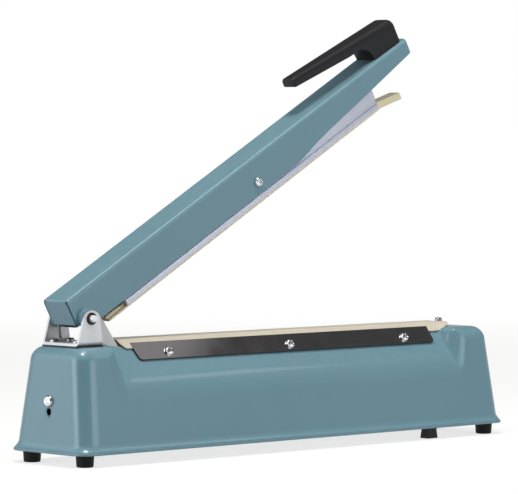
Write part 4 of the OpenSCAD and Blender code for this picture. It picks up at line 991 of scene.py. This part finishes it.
def strip_part(u, droop, end_edge, outline):
    """Outline carried along u; its middle falls by droop, and its ends are drawn in."""
    low, high = u[0], u[-1]
    rings = []
    for at, fall in zip(u, droop):
        shrink = drawn(at - low, end_edge[0]) + drawn(high - at, end_edge[1])
        ring = inset(outline, shrink)
        rings.append(np.column_stack([ring[:, 0], STRIP_V + ring[:, 1] - fall, np.full(len(ring), at)]))
    return along_arm(stacked(rings))


round_end = TAIL_EDGE * (1 - np.cos(np.linspace(0, QUARTER, 4)))
main_u = np.concatenate([STRIP_U[0] + round_end, np.linspace(STRIP_U[0] + 1, TAIL_FROM, 40)])
main_part = strip_part(main_u, np.zeros(len(main_u)), (END_EDGE, NO_EDGE), strip_outline(STRIP_T, True))
piece("strip_main", main_part, "silicone", "arm", ["silicone_strip"])
tail_u = np.concatenate([np.linspace(TAIL_FROM, STRIP_U[1] - 1, 24), STRIP_U[1] - round_end[::-1]])
tail_droop = TAIL_DROOP * (tail_u - TAIL_FROM) / (STRIP_U[1] - TAIL_FROM)
tail_part = strip_part(tail_u, tail_droop, (NO_EDGE, TAIL_EDGE), strip_outline(TAIL_T, False))
strip_tail = piece("strip_tail", tail_part, "silicone", "arm")
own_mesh(strip_tail)

# %% [markdown]
# ## Spring
# A torsion spring on a sleeve round the hinge pin lifts the arm: one leg stands on the bracket and
# the other pushes the arm up. It is a round wire carried along a helix with straight legs.

# %% Spring
WIRE_D, COIL_R, COIL_PITCH, COIL_TURNS, COIL_STEPS = 2.0, 5.8, 2.45, 5, 150
SIDE_GAP = 0.8
COIL_Y = ARM_W / 2 - ARM_T - SIDE_GAP - WIRE_D / 2
LEG_IN, LEG_OUT = math.radians(190.0), math.radians(130.0) + OPEN
LEG_IN_L, LEG_OUT_L, LEG_BEND, LEG_STEPS = 13.3, 18.7, 0.4, 8


def wire_tube(path, side, diameter, steps=14):
    """Circle carried along a path: its plane holds the given side and the path's cross direction."""
    tangent = unit(np.gradient(path, axis=0))
    side = unit(side - tangent * (side * tangent).sum(1, keepdims=True))
    other = np.cross(tangent, side)
    angle = np.linspace(0, 2 * np.pi, steps, endpoint=False)
    ring = side[:, None] * np.cos(angle)[:, None] + other[:, None] * np.sin(angle)[:, None]
    return stacked(path[:, None] + ring * diameter / 2)


def spring_line():
    """Helix about the pin with a straight leg at each end; returns the path and its side vectors."""
    turn = LEG_IN - LEG_OUT + 2 * np.pi * COIL_TURNS
    share = np.linspace(0, 1, COIL_STEPS)
    angle = LEG_IN - turn * share
    radial = np.column_stack([np.cos(angle), np.zeros(COIL_STEPS), np.sin(angle)])
    coil = COIL_R * radial
    coil[:, 1] = COIL_Y - COIL_PITCH * turn / (2 * np.pi) * share
    way_in, way_out = [np.array([math.sin(leg), 0, -math.cos(leg)]) for leg in (LEG_IN, LEG_OUT)]
    leg_in = coil[0] - np.linspace(LEG_IN_L, LEG_BEND, LEG_STEPS)[:, None] * way_in
    leg_out = coil[-1] + np.linspace(LEG_BEND, LEG_OUT_L, LEG_STEPS)[:, None] * way_out
    side = np.concatenate([np.repeat(radial[:1], LEG_STEPS, 0), radial, np.repeat(radial[-1:], LEG_STEPS, 0)])
    return np.concatenate([leg_in, coil, leg_out]), side


spring_points, spring_faces = wire_tube(*spring_line(), WIRE_D)
spring = piece("spring_coil", (spring_points + PIVOT, spring_faces), "spring_steel", None, ["arm_spring"])
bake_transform(spring)

# %% [markdown]
# ## Seat cloth
# A beige glass cloth with a non-stick coat is stretched over the seat and the hot wire, and its
# flaps are caught under the clamp plates. It is a sheet: a section that climbs one slope, crosses
# the seat and goes down the other, carried along the ridge, with slanted ends and one curled edge.

# %% Seat cloth
CLOTH_X = (-150.2, 171.4)
CLOTH_TOP, CLOTH_T, CLOTH_FLAP, CLOTH_SINK = 82.7, 0.33, 2.2, 0.1
SLANT_LEFT, SLANT_RIGHT, BEND_LEFT, BEND_RIGHT, END_HOLLOW = 5.0, 12.0, 1.6, 2.2, 1.9
LIFT_FROM, LIFT_RATE = 157.0, 0.035
SEAT_HALF, CLOTH_EDGE_R = 9.2, 0.9
WAVE_H, WAVE_LONG, WAVE_SWAY, WAVE_DRIFT, WAVE_FADE = 0.06, 13.0, 0.4, 37.0, 12.0
FLAP_STEPS, TOP_STEPS, CLOTH_STEPS = 14, 22, 200
THREAD = 0.42


def cloth_section():
    """Half section from the ridge's middle out and down the slope, and each point's share of the flap."""
    down = np.linspace(0, (CLOTH_TOP - TOP_Z + CLOTH_FLAP) / SLOPE_SIN, FLAP_STEPS)
    slope = row(SEAT_HALF + CLOTH_EDGE_R * SLOPE_SIN + down * SLOPE_COS,
                CLOTH_TOP - CLOTH_EDGE_R * (1 - SLOPE_COS) - down * SLOPE_SIN)
    bend = np.linspace(0, SLOPE, 8)[1:-1]
    fold = row(SEAT_HALF + CLOTH_EDGE_R * np.sin(bend), CLOTH_TOP - CLOTH_EDGE_R * (1 - np.cos(bend)))
    top = row(np.linspace(0, SEAT_HALF, TOP_STEPS), CLOTH_TOP)
    flap = np.concatenate([np.zeros(TOP_STEPS + len(fold)), np.linspace(0, 1, FLAP_STEPS)])
    return np.concatenate([top, fold, slope]), flap


def cloth_sheet():
    """Grid over the section and the length: flaps end on a slant, and lift off the slope at the right."""
    half, flap = cloth_section()
    section = np.concatenate([half[:0:-1] * [-1, 1], half])
    flap = np.concatenate([flap[:0:-1], flap])
    middle = np.clip(1 - np.abs(section[:, 0]) / SEAT_HALF, 0, 1)
    first = CLOTH_X[0] + SLANT_LEFT * flap ** BEND_LEFT
    last = CLOTH_X[1] - SLANT_RIGHT * flap ** BEND_RIGHT - END_HOLLOW * np.sqrt(middle)
    x = first + (last - first) * np.linspace(0, 1, CLOTH_STEPS)[:, None]
    y = np.broadcast_to(section[:, 0], x.shape)
    wave = np.sin(x / WAVE_LONG + WAVE_SWAY * np.sin(x / WAVE_DRIFT)) * np.exp(-(y / WAVE_FADE) ** 2)
    lift = LIFT_RATE * np.clip(x - LIFT_FROM, 0, None) ** 2 * flap
    z = section[:, 1] - CLOTH_SINK + WAVE_H * wave + lift * SLOPE_COS
    points = np.stack([x, y + np.sign(y) * lift * SLOPE_SIN, z], -1)
    length = np.concatenate([[0], np.cumsum(np.linalg.norm(np.diff(section, axis=0), axis=1))])
    threads = np.stack([x / THREAD, np.broadcast_to(length / THREAD, x.shape)], -1)
    return points, grid_faces(*x.shape), threads, length[-1]


cloth_points, cloth_faces, cloth_threads, cloth_width = cloth_sheet()
cloth = piece("seat_cloth", (cloth_points, cloth_faces), "cloth", "base", ["element_cloth"], outward=False)
uv = cloth.data.uv_layers.new(name="threads")
corner_of = np.empty(len(cloth.data.loops), dtype=np.int32)
cloth.data.loops.foreach_get("vertex_index", corner_of)
uv.data.foreach_set("uv", cloth_threads.reshape(-1, 2)[corner_of].ravel().astype(np.float32))
thick = cloth.modifiers.new("thickness", "SOLIDIFY")
thick.thickness = CLOTH_T * MM
thick.offset = -1.0
print("cloth:", round(cloth_width, 1), "mm wide,", round(CLOTH_X[1] - CLOTH_X[0], 1), "mm long")

# %% [markdown]
# ## Clamp plates
# A polished steel strip clamps each flap to its shoulder. It is a slab: an outline with two round
# lower corners, given its thickness and a fine chamfer, laid on the slope.

# %% Clamp plates
CLAMP_X, CLAMP_Y, CLAMP_Z = (-137.9, 148.6), (-0.5, 13.9), (0.45, 1.45)
CLAMP_CORNER, CLAMP_TOP_CORNER, CLAMP_SLANT, CLAMP_EDGE = 3.0, 0.4, 2.3, 0.08
SIDES = {"front": -1, "back": 1}


def on_slope(part, side):
    """Part with X along the ridge, Y down the slope and Z out of it, on the front or the back."""
    origin = (0.0, side * RIDGE_W / 2, TOP_Z)
    return moved(part, origin, (1, 0, 0), (0, side * SLOPE_COS, -SLOPE_SIN), (0, side * SLOPE_SIN, SLOPE_COS))


def clamp_outline():
    """Counter-clockwise outline seen from outside, with the two lower corners rounded."""
    (x0, x1), (y0, y1) = CLAMP_X, CLAMP_Y
    return rounded([(x0 - CLAMP_SLANT, y0), (x1, y0), (x1, y1), (x0, y1)],
                   [CLAMP_TOP_CORNER, CLAMP_TOP_CORNER, CLAMP_CORNER, CLAMP_CORNER], 8)


for where, side in SIDES.items():
    plate = on_slope(slab(clamp_outline(), *CLAMP_Z, CLAMP_EDGE, 2), side)
    piece(f"clamp_strip_{where}", plate, "polished_steel", "base", [f"clamp_plate_{where}"])

# %% [markdown]
# ## Screws
# Pan-head screws hold the strips, the bracket and the terminals. A head is a dome on a polar grid;
# the cross recess is cut into the same formula, so that it is real depth and catches the light.

# %% Screw maker
RIM_FROM, RIM_START, TURN_FROM, RIM_SHARE, CROWN = 0.86, 0.2, 0.55, 0.25, 0.06
CROSS_W, CROSS_REACH, CROSS_WALL, CROSS_TAPER = 0.13, 0.33, 0.16, 0.45
HEAD_RINGS, RIM_RINGS, HEAD_STEPS = 26, 9, 72
LEVEL = ((1, 0, 0), (0, 1, 0), (0, 0, 1))


def pan_head(diameter, height, shank_d, shank_l, sunk=0.5):
    """Dome whose rim turns over, less a cross: two bars, deepest in the middle, with tapered ends."""
    radius = diameter / 2
    rim = RIM_FROM + (1 - RIM_FROM) * np.sin(np.linspace(RIM_START, QUARTER, RIM_RINGS))
    share = np.concatenate([np.linspace(0, RIM_FROM, HEAD_RINGS), rim])[:, None]
    angle = np.linspace(0, 2 * np.pi, HEAD_STEPS, endpoint=False)
    x, y = share * radius * np.cos(angle), share * radius * np.sin(angle)
    turn = np.clip((share - TURN_FROM) / (1 - TURN_FROM), 0, 1)
    dome = height * (RIM_SHARE + (1 - RIM_SHARE) * np.sqrt(1 - turn ** 2)) + CROWN * height * (1 - share ** 2)
    width, reach = CROSS_W * diameter, CROSS_REACH * diameter
    bars = [np.clip((width / 2 - np.abs(b)) / CROSS_WALL, 0, 1)
            * np.clip((reach - np.abs(a)) / (CROSS_TAPER * reach), 0, 1) for a, b in ((x, y), (y, x))]
    top = np.stack([x, y, dome - sunk * height * np.maximum(*bars)], -1)
    skirt = [np.stack([r * np.cos(angle), r * np.sin(angle), np.full(HEAD_STEPS, h)], -1)
             for r, h in ((radius, 0.0), (shank_d / 2, 0.0), (shank_d / 2, -shank_l), (0.0, -shank_l))]
    points = np.concatenate([top, np.array(skirt)])
    return points, grid_faces(len(points), HEAD_STEPS, round_columns=True)


def screw(head, spin, place, axes=LEVEL):
    """Pan head spun about its own axis, so that no two crosses stand alike, then laid at a place."""
    c, s = math.cos(spin), math.sin(spin)
    return moved(moved(pan_head(*head), (0, 0, 0), (c, s, 0), (-s, c, 0), (0, 0, 1)), place, *axes)


# %% Screws
PAN_D, PAN_H, M3, M4 = 6.6, 2.2, 3.0, 4.0
# Each screw: head's width and height, shank's width and length, how deep the cross is sunk
SMALL_SCREW, CROSS_SCREW = (PAN_D, PAN_H, M3, 6.0), (PAN_D, PAN_H, M4, 26.0)
TERMINAL_SCREW, END_SCREW = (5.5, 2.9, M3, 5.0, 0.0), (7.8, 2.6, M4, 6.0, 0.3)
CLAMP_SCREW_X, CLAMP_SCREW_Y = sum(CLAMP_X) / 2 + np.array([-114.5, 0.0, 114.5]), 8.3
BRACKET_TOP, BRACKET_SCREWS = 81.9, [(-7, -12), (-7, 12), (7, -12), (7, 12)]
TERMINAL_X, TERMINAL_TOP = (-162.2, 173.9), 82.3
END_SCREW_Z, END_LEAN = RIM_Z + 35.0, math.atan(END_DRAFT)
CROSS_U, CROSS_V = 182.6, 1.3
SEAT_GAP = 0.05

for where, side in SIDES.items():
    heads = [on_slope(screw(SMALL_SCREW, 0.5 + 1.3 * number + side, (x, CLAMP_SCREW_Y, CLAMP_Z[1])), side)
             for number, x in enumerate(CLAMP_SCREW_X)]
    piece(f"clamp_heads_{where}", joined(heads), "screw_steel", "base", [f"clamp_screws_{where}"])

bracket_heads = [screw(SMALL_SCREW, 0.7 * number, (PIVOT[0] + dx, dy, BRACKET_TOP))
                 for number, (dx, dy) in enumerate(BRACKET_SCREWS)]
piece("bracket_heads", joined(bracket_heads), "screw_steel", "base", ["bracket_screws"], finish=DULL_SCREW)

terminal_heads = [screw(TERMINAL_SCREW, 0.4 + number, (x, 0, TERMINAL_TOP))
                  for number, x in enumerate(TERMINAL_X)]
piece("terminal_heads", joined(terminal_heads), "screw_steel", "base", ["terminal_screws"], finish=DULL_SCREW)

end_sin, end_cos = math.sin(END_LEAN), math.cos(END_LEAN)
end_axes = ((0, -1, 0), (end_sin, 0, end_cos), (-end_cos, 0, end_sin))
end_head = screw(END_SCREW, 0.35, (end_wall(END_SCREW_Z) - SEAT_GAP, 0, END_SCREW_Z), end_axes)
piece("end_head", end_head, "screw_steel", "base", ["end_screw"])

cross_head = screw(CROSS_SCREW, 0.9, (CROSS_U, -ARM_W / 2 - SEAT_GAP, CROSS_V),
                   ((1, 0, 0), (0, 0, 1), (0, -1, 0)))
piece("cross_head", on_arm(cross_head), "screw_steel", "arm", ["cross_screw"])

# %% [markdown]
# ## Feet
# Four rubber feet taper towards the table and have a sunk screw. Each is a profile turned round
# its axis, with rounded edges.

# %% Feet
FOOT_TOP_D, FOOT_TIP_D, FOOT_EDGE = 13.0, 11.6, 1.0
SINK_D, SINK_H, SEAT_EDGE, MOUTH_EDGE = 7.2, 4.5, 0.2, 0.4
# The top edge's points, in from the side and down from the top
TOP_ROUND = [(0.25, 0.6), (0.0, 0.3), (0.2, 0.0)]


def foot_profile(height):
    """Radius and height from the sunk screw's seat, round the tip, up the taper to the top's middle."""
    tip, top, sink = FOOT_TIP_D / 2, FOOT_TOP_D / 2, SINK_D / 2
    arc = np.linspace(-QUARTER, 0, 7)
    edge = [(tip - FOOT_EDGE + FOOT_EDGE * math.cos(a), FOOT_EDGE + FOOT_EDGE * math.sin(a)) for a in arc]
    seat = [(0, SINK_H), (sink - SEAT_EDGE, SINK_H), (sink, SINK_H - SEAT_EDGE)]
    mouth = [(sink, MOUTH_EDGE), (sink + MOUTH_EDGE, 0)]
    crown = [(top - into, height - below) for into, below in TOP_ROUND]
    return seat + mouth + edge + crown + [(0, height)]


for name in ("foot_front_left", "foot_front_right", "foot_rear_left", "foot_rear_right"):
    low, high = box_mm(name)
    points, faces = turned(foot_profile(high[2]), 64)
    place = [(low[0] + high[0]) / 2, (low[1] + high[1]) / 2, 0]
    piece(name + "_pad", (points + place, faces), "foot_rubber", "base", [name])

# %% [markdown]
# ## Pieces that keep their CAD shape
# The bracket, the bushes, the clips and the other small pieces already have the right shape. A
# merged copy gets a thin bevel, because a perfectly sharp edge never catches light.

# %% Softened pieces
# Each node: its body and the width of its bevel
SOFT_EDGES = {
    "hinge_bracket": ("base", 0.3), "bracket_gasket": ("base", 0.15), "hinge_pin": ("base", 0.9),
    "pin_clips": ("base", 0.2), "cord_gland": ("base", 0.5), "base_plate": ("base", 0.25),
    "terminal_left": ("base", 0.3), "terminal_right": ("base", 0.3), "timer_knob": ("knob", 0.2),
    "indicator_lamp": ("base", 0.2), "pivot_bush_front": ("arm", 0.3), "pivot_bush_back": ("arm", 0.3),
    "cross_nut": ("arm", 0.3), "switch_plunger": ("plunger", 0.3), "seat_bar": ("base", 0.3),
}
for name, (body, width) in SOFT_EDGES.items():
    softened(name, width, body, BRIGHT_PIN if name == "hinge_pin" else None)
print("softened:", len(SOFT_EDGES))
